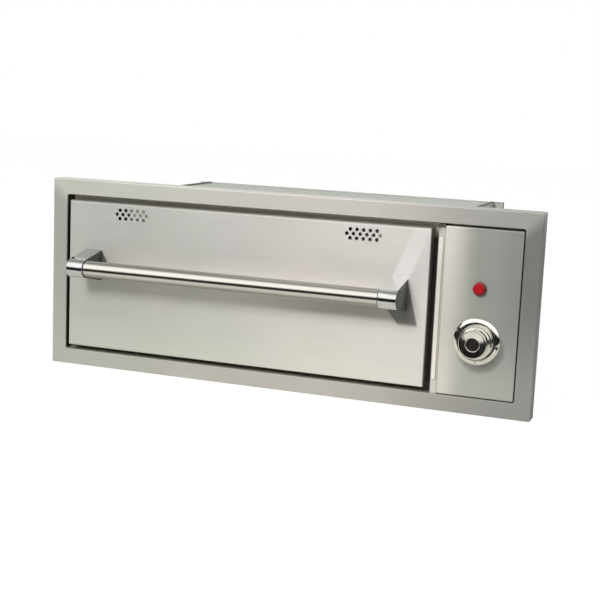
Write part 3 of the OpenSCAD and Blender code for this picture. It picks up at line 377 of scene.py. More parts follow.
def front_tone(made):
    x, _, z = made.split()
    across = (x - skin_low[0]) / (skin_high[0] - skin_low[0])
    up = (z - skin_low[2]) / (skin_high[2] - skin_low[2])
    # painted reflection of the room: cooler and darker at the left, brighter at the right, greener
    # low down
    left = made.mix(made.step(up, 0.2, 0.8), rgb(187, 188, 181), rgb(199, 200, 194))
    right = made.mix(made.step(up, 0.3, 0.9), rgb(243, 238, 233), rgb(233, 228, 223))
    tone = made.mix(made.step(across, 0.05, 1.0), left, right)
    tone = made.mix(made.step(up, 0.1, 0.6, 0.5, 0.0), tone, rgb(198, 200, 188))
    patches = made.noise(4.0, 1.0, (1, 1, 1.4))
    cloudy = made.step(patches, 0.45, 0.75, 0.0, 0.35) * made.step(across, 0.6, 0.9, 1.0, 0.0)
    tone = made.mix(cloudy, tone, rgb(220, 206, 198))
    # a painted highlight: glare from the top of the right post, up and to the right
    off_highlight = x - HIGHLIGHT_X - (z - HIGHLIGHT_Z) * HIGHLIGHT_LEAN
    painted_highlight = made.band(off_highlight, (-0.016, -0.010), (0.008, 0.015))
    painted_highlight = painted_highlight * made.step(z, HIGHLIGHT_Z - 0.004, HIGHLIGHT_Z + 0.004)
    painted_highlight = painted_highlight * made.step(z, HIGHLIGHT_Z, skin_high[2], 1.0, 0.25)
    tone = made.mix(painted_highlight, tone, rgb(255, 252, 248))
    # painted reflection and shadow of the left post's dark end, as a kite beside its foot
    rise = z - POST_Z
    width = ((FOOT_HALF - rise) * 0.6).math("MINIMUM", (rise + FOOT_HALF) * 0.335)
    post_end_shade = made.step(width - (x - LEFT_POST_END), 0.0, 0.0012)
    post_end_shade = post_end_shade * made.step(x, LEFT_POST_END - 0.003, LEFT_POST_END)
    post_end_shade = post_end_shade * made.step(FOOT_HALF - abs(rise), 0.0, 0.001)
    tone = made.mix(post_end_shade * 0.85, tone, rgb(66, 67, 62))
    # painted shadow of the handle: a band under the bar, and a wedge of shadow and reflection
    # under its right post
    bar_shadow = made.band(z, (0.088, 0.099), (0.124, 0.136))
    bar_shadow = bar_shadow * made.band(x, (-0.13, 0.13), (0.195, 0.205))
    tone = made.darker(bar_shadow * 0.42, tone)
    # the wedge is painted shadow and reflection of the right post
    wedge = made.step((APEX_Z - z) * WEDGE_LEAN - (x - APEX_X), 0.0, 0.002)
    wedge = wedge * made.band(z, (0.0860, 0.0925), (APEX_Z - 0.001, APEX_Z))
    beside = made.step(x, APEX_X - 0.010, APEX_X - 0.008)
    below = made.step(x + (z - 0.0889) * 0.85, 0.183, 0.187) * made.step(z, 0.116, 0.120, 1.0, 0.0)
    wedge = wedge * beside.math("MAXIMUM", below)
    tone = made.mix(wedge * 0.8, tone, rgb(104, 105, 99))
    # painted shade: its top edge is darker, against the highlight that it catches, and its right
    # side is painted dark as the shade in the gap beside the mullion
    shaded_top_edge = made.step(z, skin_high[2] - 3.0 * MM, skin_high[2] - 1.2 * MM)
    tone = made.darker(shaded_top_edge * 0.42, tone)
    gap_shade = made.step(x, skin_high[0] - 2.2 * MM, skin_high[0] - 0.1 * MM)
    return made.mix(gap_shade, tone, rgb(92, 89, 84))


def distance(across, along):
    return (across * across + along * along) ** 0.5


knob_middle = middle_of("knob")
SHADE_X, SHADE_Z = knob_middle[0] + 6 * MM, knob_middle[2] - 11 * MM    # middle of its shade


def panel_tone(made):
    x, _, z = made.split()
    across = (x - panel_low[0]) / (panel_high[0] - panel_low[0])
    up = (z - panel_low[2]) / (panel_high[2] - panel_low[2])
    # painted reflection of the room: lighter at the upper left, grey to the right, darker low down
    left = made.mix(made.step(up, 0.3, 0.9), rgb(216, 213, 204), rgb(238, 233, 225))
    tone = made.mix(made.step(across, 0.02, 0.47), left, rgb(166, 168, 161))
    tone = made.mix(made.step(across, 0.5, 1.0), tone, rgb(154, 155, 150))
    low = made.step(up, 0.0, 0.45, 0.75, 0.0) * made.step(across, 0.1, 0.4)
    tone = made.mix(low, tone, rgb(181, 181, 175))
    # painted shadow of the knob on the sheet below it
    away = distance(x - SHADE_X, z - SHADE_Z)
    return made.darker(made.step(away, 0.029, 0.037, 0.38, 0.0), tone)


def frame_tone(made):
    """Painted reflection and shade: the top rail is lightest and the right stile darkest."""
    x, y, z = made.split()
    half = (frame_high[0] - frame_low[0]) / 2
    upright = stile_mask(made)
    right = made.step(x, half - 0.30, half - 0.02)
    tone = made.mix(made.step(x, -half, half * 0.3), rgb(207, 208, 198), rgb(219, 214, 207))
    tone = made.mix(right, tone, rgb(177, 176, 171))
    # painted shade: the lower part and the left stile are darker
    low_down = made.step(z, 0.0, 0.06, 1.0, 0.0)
    left_stile = upright * made.step(x, -0.3, 0.0, 1.0, 0.0)
    tone = made.darker((1 - (1 - low_down) * (1 - left_stile)) * 0.28, tone)
    stile = made.mix(made.step(z, 0.0, 0.14), rgb(152, 153, 149), rgb(134, 135, 132))
    tone = made.mix(upright * right, tone, stile)
    # painted shade: the inner folds of the stiles are painted nearly black, as the dark gap they
    # stand in
    from_side, from_middle = half - abs(x), abs(z - frame_middle[2])
    half_opening = (frame_high[2] - frame_low[2]) / 2 - BORDER
    fold_shade = made.band(from_side, (BORDER - 2.5 * MM, BORDER - 1.5 * MM),
                          (BORDER + 0.5 * MM, BORDER + 1.5 * MM))
    fold_shade = fold_shade * made.step(from_middle, half_opening + 0.5 * MM,
                                      half_opening + 1.5 * MM, 1.0, 0.0)
    fold_shade = fold_shade * made.step(y, frame_low[1] + 1.6 * MM, frame_low[1] + 4 * MM)
    return made.mix(fold_shade, tone, rgb(36, 35, 32))


def stile_mask(made):
    """1 on the upright sides of the frame and 0 on its rails, parted along the mitres."""
    x, _, z = made.split()
    from_side = (frame_high[0] - frame_low[0]) / 2 - abs(x - frame_middle[0])
    from_rail = (frame_high[2] - frame_low[2]) / 2 - abs(z - frame_middle[2])
    return made.step(from_rail - from_side, -0.006, 0.022)


def mitred_frame(name):
    """The frame's steel: its grain runs along each of the four strips."""
    material, made = new_finish(name)
    upright = stile_mask(made)
    along_x = made.noise(1.0, 3.0, GRAIN_ALONG_X, 0.6)
    along_z = made.noise(1.0, 3.0, GRAIN_ALONG_Z, 0.6)
    lines = along_x * (1 - upright) + along_z * upright
    broad = made.noise(8.0)
    shade = lines * 0.10 + (broad - 0.5) * 0.12 + 0.95
    close(made, made.shaded(frame_tone(made), shade),
          (lines - 0.5) * 0.12 + 0.40, lines, SCRATCH, Metallic=0.45)
    return material


print("front", [round(v, 3) for v in skin_low], "to", [round(v, 3) for v in skin_high])

# %% [markdown]
# ### The other finishes
# Zinc-coated sheet has a faint spangle, heater sheath is oxidised almost black, mineral wool is a
# mat of fibres, and the lamp is a clear red moulding. Each is one short recipe of noise that feeds
# colour, roughness and bump.

# %% Plain finishes
def spangled(name, tone, roughness, spangle=0.10, metallic=0.85):
    """Zinc-coated sheet: crystals a few millimetres across, each a little lighter or darker."""
    material, made = new_finish(name)
    crystals = made.node("TexVoronoi", {"Vector": made.places, "Scale": 160.0}, "Color")
    grey = made.split(crystals)[0]
    cloud = made.noise(12.0, 3.0)
    shade = grey * spangle + (cloud - 0.5) * 0.16 + (1 - spangle / 2)
    close(made, made.shaded(painted(made, tone), shade),
          grey * 0.12 + roughness - 0.06, cloud, 0.00003, Metallic=metallic)
    return material


def mullion_tone(made):
    """Painted shade: the ends beyond the strip are darker towards the frame and towards the left.
    """
    x, _, z = made.split()
    low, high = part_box("mullion")
    top = made.step(z, high[2] - 8.5 * MM, high[2] - 5.5 * MM)
    leftward = made.step(x, low[0] + MM, high[0] - MM, 0.40, 0.0)
    leftward = leftward * made.step(z, high[2] - 19 * MM, high[2] - 6 * MM)
    tone = made.darker(leftward, rgb(212, 209, 201))
    return made.mix(top * 0.9, tone, rgb(62, 58, 50))


def bar_tone(made):
    """Brushed steel, with a painted reflection of the dark front along its very top and underside.
    """
    up = made.split(made.node("TexCoord", output="Normal"))[2]
    dark_reflection = made.step(up, 0.80, 0.93) * 0.45 + made.step(up, -0.70, -0.38, 0.52, 0.0)
    return made.darker(dark_reflection, rgb(208, 205, 196))


def shutter_tone(made):
    """Painted shade: darker behind the lowest row of holes, where the shutter's shade is deepest.
    """
    z = made.split()[2]
    between_rows = VENT_Z - 3.1 * MM
    return made.mix(made.step(z, between_rows - 0.5 * MM, between_rows + 0.5 * MM),
                    rgb(116, 111, 105), rgb(146, 140, 134))


def rear_tone(made):
    """The rear panel stands in the casing's shade; painted shade darkens its side and top edges.
    """
    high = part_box("rear_panel")[1]
    x, _, z = made.split()
    shaded_side_edge = made.step(x, high[0] - 2.2 * MM, high[0] - 1.2 * MM)
    shaded_top_edge = made.step(z, high[2] - 1.6 * MM, high[2] - 0.8 * MM)
    shaded_top_edge = shaded_top_edge * made.step(x, high[0] - 19 * MM, high[0] - 17 * MM)
    return made.mix(shaded_side_edge.math("MAXIMUM", shaded_top_edge) * 0.75, rgb(196, 199, 190),
                    rgb(70, 70, 66))


def bulkhead_tone(made):
    """Light comes in over the drawer only, so the plate behind the gaps is darker lower down."""
    z = made.split()[2]
    return made.mix(made.step(z, 0.212, 0.224), rgb(84, 80, 72), rgb(226, 219, 206))


def moulded(name, tone, roughness, pebble=500.0, depth=0.00004, coat=0.0):
    """Moulded plastic, ceramic or rubber: a pebbled skin and a little unevenness of tone."""
    material, made = new_finish(name)
    skin = made.noise(pebble, 3.0)
    cloud = made.noise(25.0)
    lighter = tuple(min(1.0, c * 1.35 + 0.01) for c in tone)
    close(made, made.mix(cloud * 0.5, tone, lighter), (skin - 0.5) * 0.2 + roughness,
          skin, depth, Coat_Weight=coat)
    return material


def fibrous(name, tone):
    """A slab of mineral wool: long fibres in two directions over soft clumps."""
    material, made = new_finish(name)
    one_way = made.noise(1.0, 4.0, (120, 900, 900), 0.7)
    other_way = made.noise(1.0, 4.0, (900, 160, 700), 0.7)
    clumps = made.noise(45.0, 3.0)
    fibres = one_way * 0.5 + other_way * 0.5
    darker = tuple(c * 0.55 for c in tone)
    close(made, made.mix(fibres * 0.8 + clumps * 0.2, darker, tone), 0.95,
          fibres * 0.4 + clumps, 0.002)
    return material


# painted shade on the lamp's cap: its rim is dark, most on the lower right
LAMP_SHIFT = 1.2 * MM   # the clear centre looks shifted to the upper left, towards the light


def lamp_glass(name):
    """The lamp's cap: a clear red centre, a rim painted dark as shade, and fine ribs under its
    skin.
    """
    lens_x, _, lens_z = middle_of("indicator_lens")
    material, made = new_finish(name)
    x, _, z = made.split()
    off_axis = distance(x - lens_x + LAMP_SHIFT, z - lens_z - LAMP_SHIFT)
    # painted shade: darker towards the rim
    rim = made.step(off_axis, 5.5 * MM, 10.5 * MM)
    ribs = made.noise(1.0, 1.0, (700, 60, 700))
    tone = made.mix(ribs, rgb(152, 12, 20), rgb(172, 20, 28))
    tone = made.mix(rim, tone, rgb(70, 8, 16))
    close(made, tone, ribs * 0.1 + 0.16, Coat_Weight=0.3)
    return material


finishes = {
    "brushed_stainless": brushed("front_steel", front_tone, 0.40, metallic=0.45),
    "frame_stainless": mitred_frame("frame_steel"),
    "panel_stainless": brushed("panel_steel", panel_tone, 0.40, metallic=0.45),
    "polished_steel": polished("post_chrome", rgb(234, 231, 221)),
    "bar_steel": brushed("bar_steel", bar_tone, 0.17, depth=0.04),
    "strip_metal": brushed("strip_metal", rgb(238, 233, 223), 0.36, GRAIN_ALONG_Z, 0.05, 0.4),
    "mullion_steel": brushed("mullion_steel", mullion_tone, 0.4, GRAIN_ALONG_Z, 0.05, 0.4),
    "galvanised_sheet": spangled("zinc_sheet", rgb(190, 197, 185), 0.48),
    "casing_sheet": spangled("casing_zinc", rgb(194, 199, 188), 0.48),
    # the hems' dark grey is painted shade and reflection
    "hem_sheet": spangled("hem_zinc", rgb(112, 114, 108), 0.55, metallic=0.3),
    "rear_sheet": spangled("rear_zinc", rear_tone, 0.5, metallic=0.3),
    "inner_stainless": brushed("cavity_steel", rgb(196, 196, 192), 0.32, GRAIN_ALONG_Y, 0.06),
    "dark_sheet": brushed("bulkhead_steel", bulkhead_tone, 0.5, GRAIN_ALONG_X, 0.10, 0.2),
    "lamp_red": lamp_glass("lamp_red"),
    "black_plastic": moulded("knob_black", rgb(24, 20, 20), 0.28, 900.0, 0.00001, 0.4),
    "phenolic": moulded("phenolic_brown", rgb(96, 72, 50), 0.55),
    "copper": brushed("copper_tube", rgb(206, 142, 104), 0.3, GRAIN_ALONG_Y, 0.08),
    "zinc_steel": spangled("bright_zinc", rgb(200, 204, 210), 0.30, 0.06, 1.0),
    "shutter_zinc": spangled("shutter_zinc", shutter_tone, 0.5, 0.06, 0.3),
    "cage_steel": brushed("yellow_zinc", rgb(206, 190, 128), 0.34, GRAIN_ALONG_Y, 0.08),
    "ceramic_white": moulded("steatite", rgb(226, 220, 206), 0.6),
    "sheath_steel": brushed("oxidised_sheath", rgb(74, 66, 60), 0.45, GRAIN_ALONG_X, 0.25, 0.7),
    "mineral_wool": fibrous("mineral_wool", rgb(206, 190, 120)),
    "gasket_rubber": moulded("gasket_rubber", rgb(34, 33, 32), 0.7, 700.0, 0.0001),
    "wire_insulation": moulded("silicone_sleeve", rgb(176, 40, 34), 0.5),
    "nylon_black": moulded("nylon_black", rgb(44, 44, 44), 0.45),
}
print(len(finishes), "finishes")

# %% [markdown]
# ## Finishing the exact nodes
# Every node names a material slot in the record. A node whose shape is right keeps its own mesh,
# and only gets the finish of its slot. A few share a slot with a neighbour but have a tone of
# their own, because they lie in another light: they are listed first.

# %% Finishes on the nodes
slot_of = {row["node"]: row["material_slot"] for row in frame["record"]["subparts"]}
own_finish = {"casing": "casing_sheet", "rear_panel": "rear_sheet",
              "vent_shutter_left": "shutter_zinc", "vent_shutter_right": "shutter_zinc"}
for name, node_object in frame["nodes"].items():
    node_object.data.materials.clear()
    node_object.data.materials.append(finishes[own_finish.get(name, slot_of[name])])
print(len(slot_of), "nodes finished")

# %% [markdown]
# ## Modelling helpers
# Sheet metal is folded, and a fold seen from the front is a nest of rectangles, each a little
# further in and further forward. So a folded part is one rectangle, drawn out to the next again
# and again. Bridging ready-made rectangles would be shorter, but it can twist.
# Turned parts are a profile spun round an axis. Both end in `finish_piece`, which turns the faces
# outward, keeps edges sharper than a given angle crisp, and says which body the piece rides on.

# %% Helpers for folded and turned parts
MERGE = 0.002 * MM      # points nearer than this become one
TOUCH = 0.1 * MM        # and points nearer than this to a face lie on it


def soften(mesh, sharper_than):
    """Smooth shading, with every edge sharper than an angle left crisp."""
    for face in mesh.faces:
        face.smooth = True
    for edge in mesh.edges:
        if len(edge.link_faces) != 2 or edge.calc_face_angle() > math.radians(sharper_than):
            edge.smooth = False


def finish_piece(mesh, name, body, slot, finish=None, replaces=(), sharper_than=28):
    """Turns a bmesh into a piece of the object."""
    bmesh.ops.remove_doubles(mesh, verts=mesh.verts, dist=MERGE)
    bmesh.ops.recalc_face_normals(mesh, faces=mesh.faces)
    soften(mesh, sharper_than)
    data = bpy.data.meshes.new(name)
    mesh.to_mesh(data)
    mesh.free()
    piece = bpy.data.objects.new(name, data)
    scene.collection.objects.link(piece)
    data.materials.append(finish or finishes[slot])
    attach(piece, body)
    if replaces:
        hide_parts(*replaces)
    print(name, len(data.vertices), "points, on", body)
    return piece


CORNER_STEPS = 4


def rectangle(low, high, inset, y, radius):
    """The points of an upright rectangle with round corners, inset from its outline, at y."""
    middles = [(low[0], low[2], 1, 1), (high[0], low[2], -1, 1),
               (high[0], high[2], -1, -1), (low[0], high[2], 1, -1)]
    points = []
    for turn, (x, z, right, up) in enumerate(middles):
        centre = (x + right * (inset + radius), z + up * (inset + radius))
        points += arc(centre, radius, 180 + 90 * turn, 270 + 90 * turn, CORNER_STEPS)
    return [(x, y, z) for x, z in points]


def fold(mesh, low, high, profile, corner):
    """Draws a rectangle's edges out from each (inset, y) of the profile to the next.

    corner gives the corners' radius for an inset. Returns the edges of the last rectangle.
    """
    ring = [mesh.verts.new(point) for point in rectangle(low, high, *profile[0],
                                                         corner(profile[0][0]))]
    edges = [mesh.edges.new((ring[i - 1], ring[i])) for i in range(len(ring))]
    for inset, y in profile[1:]:
        drawn = bmesh.ops.extrude_edge_only(mesh, edges=edges)["geom"]
        new = {item for item in drawn if isinstance(item, bmesh.types.BMVert)}
        ring = [next(edge.other_vert(point) for edge in point.link_edges
                     if edge.other_vert(point) in new) for point in ring]
        edges = [item for item in drawn if isinstance(item, bmesh.types.BMEdge)
                 and set(item.verts) <= new]
        for point, place in zip(ring, rectangle(low, high, inset, y, corner(inset))):
            point.co = place
    return edges


def arc(centre, radius, start, end, count=6):
    """Points on an arc, with angles in degrees."""
    turns = [math.radians(start + (end - start) * i / count) for i in range(count + 1)]
    return [(centre[0] + radius * math.cos(t), centre[1] + radius * math.sin(t)) for t in turns]


def circle_edges(mesh, x, y, z, radius):
    """A circle in an upright plane, as the edge of a hole."""
    place = Matrix.Translation((x, y, z)) @ Matrix.Rotation(math.radians(90), 4, "X")
    made = bmesh.ops.create_circle(mesh, cap_ends=False, radius=radius, segments=20, matrix=place)
    return list({edge for point in made["verts"] for edge in point.link_edges})


def spun(profile, centre, axis, segments):
    """Spins a profile of (radius, distance along the axis) round a level axis."""
    mesh = bmesh.new()
    axis, across = Vector(axis), Vector((0, 0, 1))
    points = [mesh.verts.new(Vector(centre) + across * r + axis * along) for r, along in profile]
    wires = [mesh.edges.new(pair) for pair in zip(points, points[1:])]
    bmesh.ops.spin(mesh, geom=points + wires, cent=centre, axis=axis, dvec=(0, 0, 0),
                   angle=math.tau, steps=segments, use_merge=True, use_duplicate=False)
    bmesh.ops.remove_doubles(mesh, verts=mesh.verts, dist=MERGE)
    return mesh


print("helpers ready")

# %% [markdown]
# ## The trim frame
# The real frame is four strips of steel, folded to a shallow channel, mitred at the corners,
# welded and brushed. A beam with a profile could be swept round a path, but drawn-out rectangles
# give the mitres by themselves: each side is one strip, and they meet at 45 degrees.

# %% Trim frame
FRAME_EDGE, FRAME_SHEET, LIP = 1.6 * MM, 1.2 * MM, 14 * MM
CORNER_R, OPENING_R = 1.8 * MM, 3.0 * MM
FLAT_RIM = 0.5 * MM     # a narrow rim beside each fold keeps the flat's shading flat
front_y, rear_y = frame_low[1], frame_high[1]
return_y = rear_y - 2 * FRAME_SHEET
outline = [(0, rear_y), (0, front_y + FRAME_EDGE)]
outline += arc((FRAME_EDGE, front_y + FRAME_EDGE), FRAME_EDGE, 180, 270)[1:]
outline += [(FRAME_EDGE + FLAT_RIM, front_y), (BORDER - FRAME_EDGE - FLAT_RIM, front_y)]
outline += arc((BORDER - FRAME_EDGE, front_y + FRAME_EDGE), FRAME_EDGE, 270, 360)
outline += [(BORDER, return_y), (BORDER - FRAME_SHEET, return_y),
            (BORDER - FRAME_SHEET, front_y + FRAME_SHEET), (FRAME_SHEET, front_y + FRAME_SHEET),
            (FRAME_SHEET, rear_y - FRAME_SHEET), (LIP, rear_y - FRAME_SHEET), (LIP, rear_y)]


def frame_corner(inset):
    """Nearly sharp outside, and round at the opening."""
    return CORNER_R if inset < BORDER / 2 else (OPENING_R + BORDER - inset)


mesh = bmesh.new()
fold(mesh, frame_low, frame_high, outline + outline[:1], frame_corner)
finish_piece(mesh, "frame_folded", "housing", "frame_stainless", replaces=["trim_frame"])

# %% [markdown]
# ## The drawer front
# A folded pan with round front edges and two groups of punched holes. The sheet is made as one
# open surface. Its flat front is filled between its outline and the circles of the holes, and a
# Solidify modifier then gives the sheet its thickness, also in the walls of the holes.

# %% Drawer front
SKIN_EDGE, SKIN_LIP, SKIN_SHEET = 3 * MM, 10 * MM, 1.2 * MM
VENT_R, VENT_PITCH, VENT_ROW = 2.8 * MM, 10 * MM, 6.35 * MM
VENT_MIDDLES = [skin_low[0] + 107 * MM, skin_high[0] - 99.5 * MM]


def vent_places():
    """The middles of the holes: rows of 5, 6 and 5, shifted by half a pitch."""
    for middle in VENT_MIDDLES:
        for row, count in ((-1, 5), (0, 6), (1, 5)):
            for i in range(count):
                yield middle + (i - (count - 1) / 2) * VENT_PITCH, VENT_Z + row * VENT_ROW


def folded_sheet(name, node, edge, lip, sheet, holes, body, finish):
    """A pan folded from one sheet, open at the back, with round holes in its flat front."""
    low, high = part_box(node)
    mesh = bmesh.new()
    profile = ([(lip, high[1])] if lip else []) + [(0, high[1]), (0, low[1] + edge)]
    profile += arc((edge, low[1] + edge), edge, 180, 270)[1:]
    profile += [(edge + FLAT_RIM, low[1])]
    rim = fold(mesh, low, high, profile, lambda inset: max(1.5 * MM - inset, 0.5 * MM))
    for x, z, radius in holes:
        rim += circle_edges(mesh, x, low[1], z, radius)
    bmesh.ops.triangle_fill(mesh, use_beauty=True, use_dissolve=False, edges=rim,
                            normal=(0, -1, 0))
    piece = finish_piece(mesh, name, body, slot_of[node], finishes[finish], [node])
    # the sheet's outside is the CAD face, so its thickness goes inwards
    facing = sum(face.normal.y * face.area for face in piece.data.polygons)
    thick = piece.modifiers.new("sheet", "SOLIDIFY")
    thick.thickness = sheet
    thick.offset = -1 if facing < 0 else 1
    thick.use_even_offset = True


holes = [(x, z, VENT_R) for x, z in vent_places()]
folded_sheet("front_folded", "front_skin", SKIN_EDGE, SKIN_LIP, SKIN_SHEET, holes, "drawer",
             "brushed_stainless")
print(len(holes), "vent holes")

# %% [markdown]
# ## The control panel
# The same folded sheet again, smaller and without a lip. Its holes are for the lamp and for the
# thermostat's bush.

# %% Control panel
PANEL_EDGE, PANEL_SHEET = 1.5 * MM, 1.5 * MM
LAMP_HOLE_R, BUSH_HOLE_R = 6.1 * MM, 5.1 * MM
control_x, _, knob_z = middle_of("knob_bezel")
lamp_z = middle_of("indicator_lens")[2]
folded_sheet("panel_folded", "control_panel", PANEL_EDGE, 0, PANEL_SHEET,
             [(control_x, lamp_z, LAMP_HOLE_R), (control_x, knob_z, BUSH_HOLE_R)],
             "housing", "panel_stainless")

# %% [markdown]
# ## The mullion and its strip
# Between drawer and panel stands a folded channel, and on it lies a narrow bright strip that stops
# short of both ends. Both are one section drawn up along Z, so a face is made from the section and
# extruded. The strip's edges are then bevelled, because a round edge is what catches the light.

# %% Mullion and strip
def extruded(section, direction):
    """A face through the points of a section, drawn out along a direction."""
    mesh = bmesh.new()
    face = mesh.faces.new([mesh.verts.new(point) for point in section])
    drawn = bmesh.ops.extrude_face_region(mesh, geom=[face])["geom"]
    bmesh.ops.translate(mesh, vec=direction,
                        verts=[item for item in drawn if isinstance(item, bmesh.types.BMVert)])
    return mesh


def round_edges(mesh, edges, width, segments):
    bmesh.ops.bevel(mesh, geom=edges, offset=width, offset_type="OFFSET", segments=segments,
                    profile=0.5, affect="EDGES", material=-1, clamp_overlap=True)


low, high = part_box("mullion")
high[0] += 0.8 * MM     # its right fold leans towards the panel
sheet = 1.2 * MM
section = [(low[0], high[1])]
section += arc((low[0] + sheet, low[1] + sheet), sheet, 180, 270, 4)
section += arc((high[0] - sheet, low[1] + sheet), sheet, 270, 360, 4)
section += [(high[0], high[1]), (high[0] - sheet, high[1]), (high[0] - sheet, low[1] + sheet),
            (low[0] + sheet, low[1] + sheet), (low[0] + sheet, high[1])]
mesh = extruded([(x, y, low[2]) for x, y in section], (0, 0, high[2] - low[2]))
finish_piece(mesh, "mullion_folded", "housing", "frame_stainless",
             finishes["mullion_steel"], ["mullion"])

low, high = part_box("mullion_strip")
mesh = extruded([(low[0], high[1], low[2]), low, (high[0], low[1], low[2]),
                 (high[0], high[1], low[2])], (0, 0, high[2] - low[2]))
front_edges = [edge for edge in mesh.edges
               if all(point.co.y < low[1] + TOUCH for point in edge.verts)]
round_edges(mesh, front_edges, 1.3 * MM, 4)
finish_piece(mesh, "strip_rounded", "housing", "strip_metal", replaces=["mullion_strip"])

# %% [markdown]
# ## The thermostat's bezel
# A turned and plated ring. Its shoulder falls away like a shallow cone, so its upper half mirrors
# the light above and its lower half the floor. A step parts it from the flat under the knob.
# Three marks in black enamel say where the knob stands: a bar, an arrow and a small tick.

# %% Bezel and its marks
def on_panel(profile, z, segments):
    """Spins a profile in mm round an axis that leaves the panel's face at the height z."""
    return spun([(r * MM, h * MM) for r, h in profile], (control_x, panel_low[1], z),
                (0, -1, 0), segments)


MARK_R = 29.2 * MM      # the marks' distance from the knob's axis
MARK_DEPTH, MARK_RISE = 0.5 * MM, 2.55 * MM
ring = [(8, 0), (8, 2.0), (24.8, 2.0), (26.6, 2.0), (26.8, 2.6), (27.1, 2.9), (27.6, 2.95),
        (28.4, 2.75), (29.4, 2.45), (30.4, 2.1), (31.3, 1.7), (32.1, 1.25), (32.8, 0.75),
        (33.2, 0.4), (33.45, 0.1), (33.5, 0), (8, 0)]
mesh = on_panel(ring, knob_z, 96)
finish_piece(mesh, "bezel_turned", "housing", "polished_steel", replaces=["knob_bezel"])


def bezel_mark(name, corners, clock):
    """A thin enamel mark on the bezel's shoulder. clock is its place on a clock's face."""
    turn = math.radians(90 - 30 * clock)
    x, z = control_x + MARK_R * math.cos(turn), knob_z + MARK_R * math.sin(turn)
    mesh = extruded([(cx * MM, 0, cz * MM) for cx, cz in corners], (0, -MARK_DEPTH, 0))
    bmesh.ops.subdivide_edges(mesh, edges=mesh.edges[:], cuts=1, use_grid_fill=True)
    place = (Matrix.Translation((x, panel_low[1] - MARK_RISE, z))
             @ Matrix.Rotation(-turn, 4, "Y"))
    bmesh.ops.transform(mesh, matrix=place, verts=mesh.verts)
    finish_piece(mesh, name, "housing", "black_plastic")


bezel_mark("mark_bar", [(-2.2, -2.0), (2.4, -2.0), (2.4, 2.0), (-2.2, 2.0)], 10.1)
bezel_mark("mark_arrow", [(-3.4, 0.0), (2.6, -2.6), (2.6, 2.6)], 3.4)
bezel_mark("mark_tick", [(-1.5, -0.5), (1.5, -0.5), (1.5, 0.5), (-1.5, 0.5)], 6.0)

# %% [markdown]
# ## The thermostat's knob
# The knob is turned brass, plated: a skirt with a groove, a waisted barrel, and a dished face. The
# dish matters. A flat face would mirror one thing only, but a dish tips its upper half down to the
# bright floor and its lower half up to the dark room, as in the photograph.

# %% Knob
FOOT = (panel_low[1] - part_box("knob")[1][1]) / MM       # its foot above the panel, in mm
profile = [(3.05, FOOT + 12), (3.05, FOOT), (23.0, FOOT)]
profile += arc((23.0, FOOT + 1.0), 1.0, -90, 0, 4)[1:]
profile += [(24.0, FOOT + 2.4), (23.5, FOOT + 2.8), (24.0, FOOT + 3.2), (24.0, FOOT + 5.0)]
profile += arc((22.9, FOOT + 5.0), 1.1, 0, 90, 5)[1:]
profile += [(22.4, FOOT + 6.1), (21.7, FOOT + 6.3), (21.3, FOOT + 6.9)]
profile += [(20.2 + 1.0 * (t - 1) ** 2, FOOT + 7.2 + 13.6 * t)
            for t in (0.0, 0.2, 0.4, 0.6, 0.8, 1.0)]
profile += [(20.15, FOOT + 21.6)]
profile += arc((18.95, FOOT + 22.0), 1.2, 5, 85, 6)
DISH_OUT, DISH_IN, DISH_DEPTH = 18.4, 10.5, 0.95
profile += [(DISH_OUT + (DISH_IN - DISH_OUT) * t, FOOT + 23.15 - DISH_DEPTH * t)
            for t in (0.0, 0.25, 0.5, 0.75, 1.0)]
profile += arc((9.9, FOOT + 22.4), 0.6, 0, 180, 6)
profile += [(9.3, FOOT + 21.2), (0, FOOT + 21.2)]
mesh = on_panel(profile, knob_z, 96)
finish_piece(mesh, "knob_turned", "knob_and_shaft", "polished_steel", replaces=["knob"])

# %% [markdown]
# ## The disc in the knob
# A moulded black disc, with fine rings turned into its face. It is pressed into the knob's ring.

# %% Knob disc
disc = [(0, FOOT + 21.3), (9.0, FOOT + 21.3), (9.0, FOOT + 22.3)]
disc += arc((8.4, FOOT + 22.3), 0.6, 0, 90, 4)[1:]
for r in (7.4, 6.2, 5.0, 3.8):
    disc += [(r, FOOT + 22.9), (r - 0.25, FOOT + 22.6), (r - 0.5, FOOT + 22.9)]
disc += [(2.4, FOOT + 22.95), (0, FOOT + 22.7)]
mesh = on_panel(disc, knob_z, 48)
finish_piece(mesh, "disc_turned", "knob_and_shaft", "black_plastic", replaces=["knob_cap"])

# %% [markdown]
# ## The lamp's cap
# A red moulding that snaps into its body: a thin flange, a side with flats like a cut stone, and a
# slightly domed face. Few steps in the spin leave the flats, and they are kept crisp.

# %% Lamp cap
cap = [(0, 0.02), (9.2, 0.02), (10.0, 0.3), (10.0, 1.0), (9.5, 1.2), (9.4, 4.4), (8.9, 5.6),
       (7.6, 6.6), (5.2, 6.85), (2.6, 6.95), (0, 7.0)]
mesh = on_panel(cap, lamp_z, 16)
finish_piece(mesh, "lamp_cap", "housing", "lamp_red", replaces=["indicator_lens"],
             sharper_than=20)

# %% [markdown]
# ## The bar handle
# A drawn tube, brushed lengthwise, pushed into two plated posts. Each post is a sleeve with a
# wedge: two flat sides that leave the sleeve at a tangent and widen to the foot. The outline is
# the sleeve's arc and the foot's two corners. It is extruded along the bar and its edges rounded.

# %% Handle bar
bar_low, bar_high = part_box("handle_bar")
bar_centre = middle_of("handle_bar")
bar_r = (bar_high[2] - bar_low[2]) / 2
half = (bar_high[0] - bar_low[0]) / 2
bore_r = bar_r - 1.5 * MM
tube = [(bore_r, -half)] + [(bar_r, -half + 2 * half * i / 12) for i in range(13)]
tube += [(bore_r, half), (bore_r, -half)]
mesh = spun(tube, bar_centre, (1, 0, 0), 72)
finish_piece(mesh, "bar_tube", "drawer", "bar_steel", replaces=["handle_bar"])


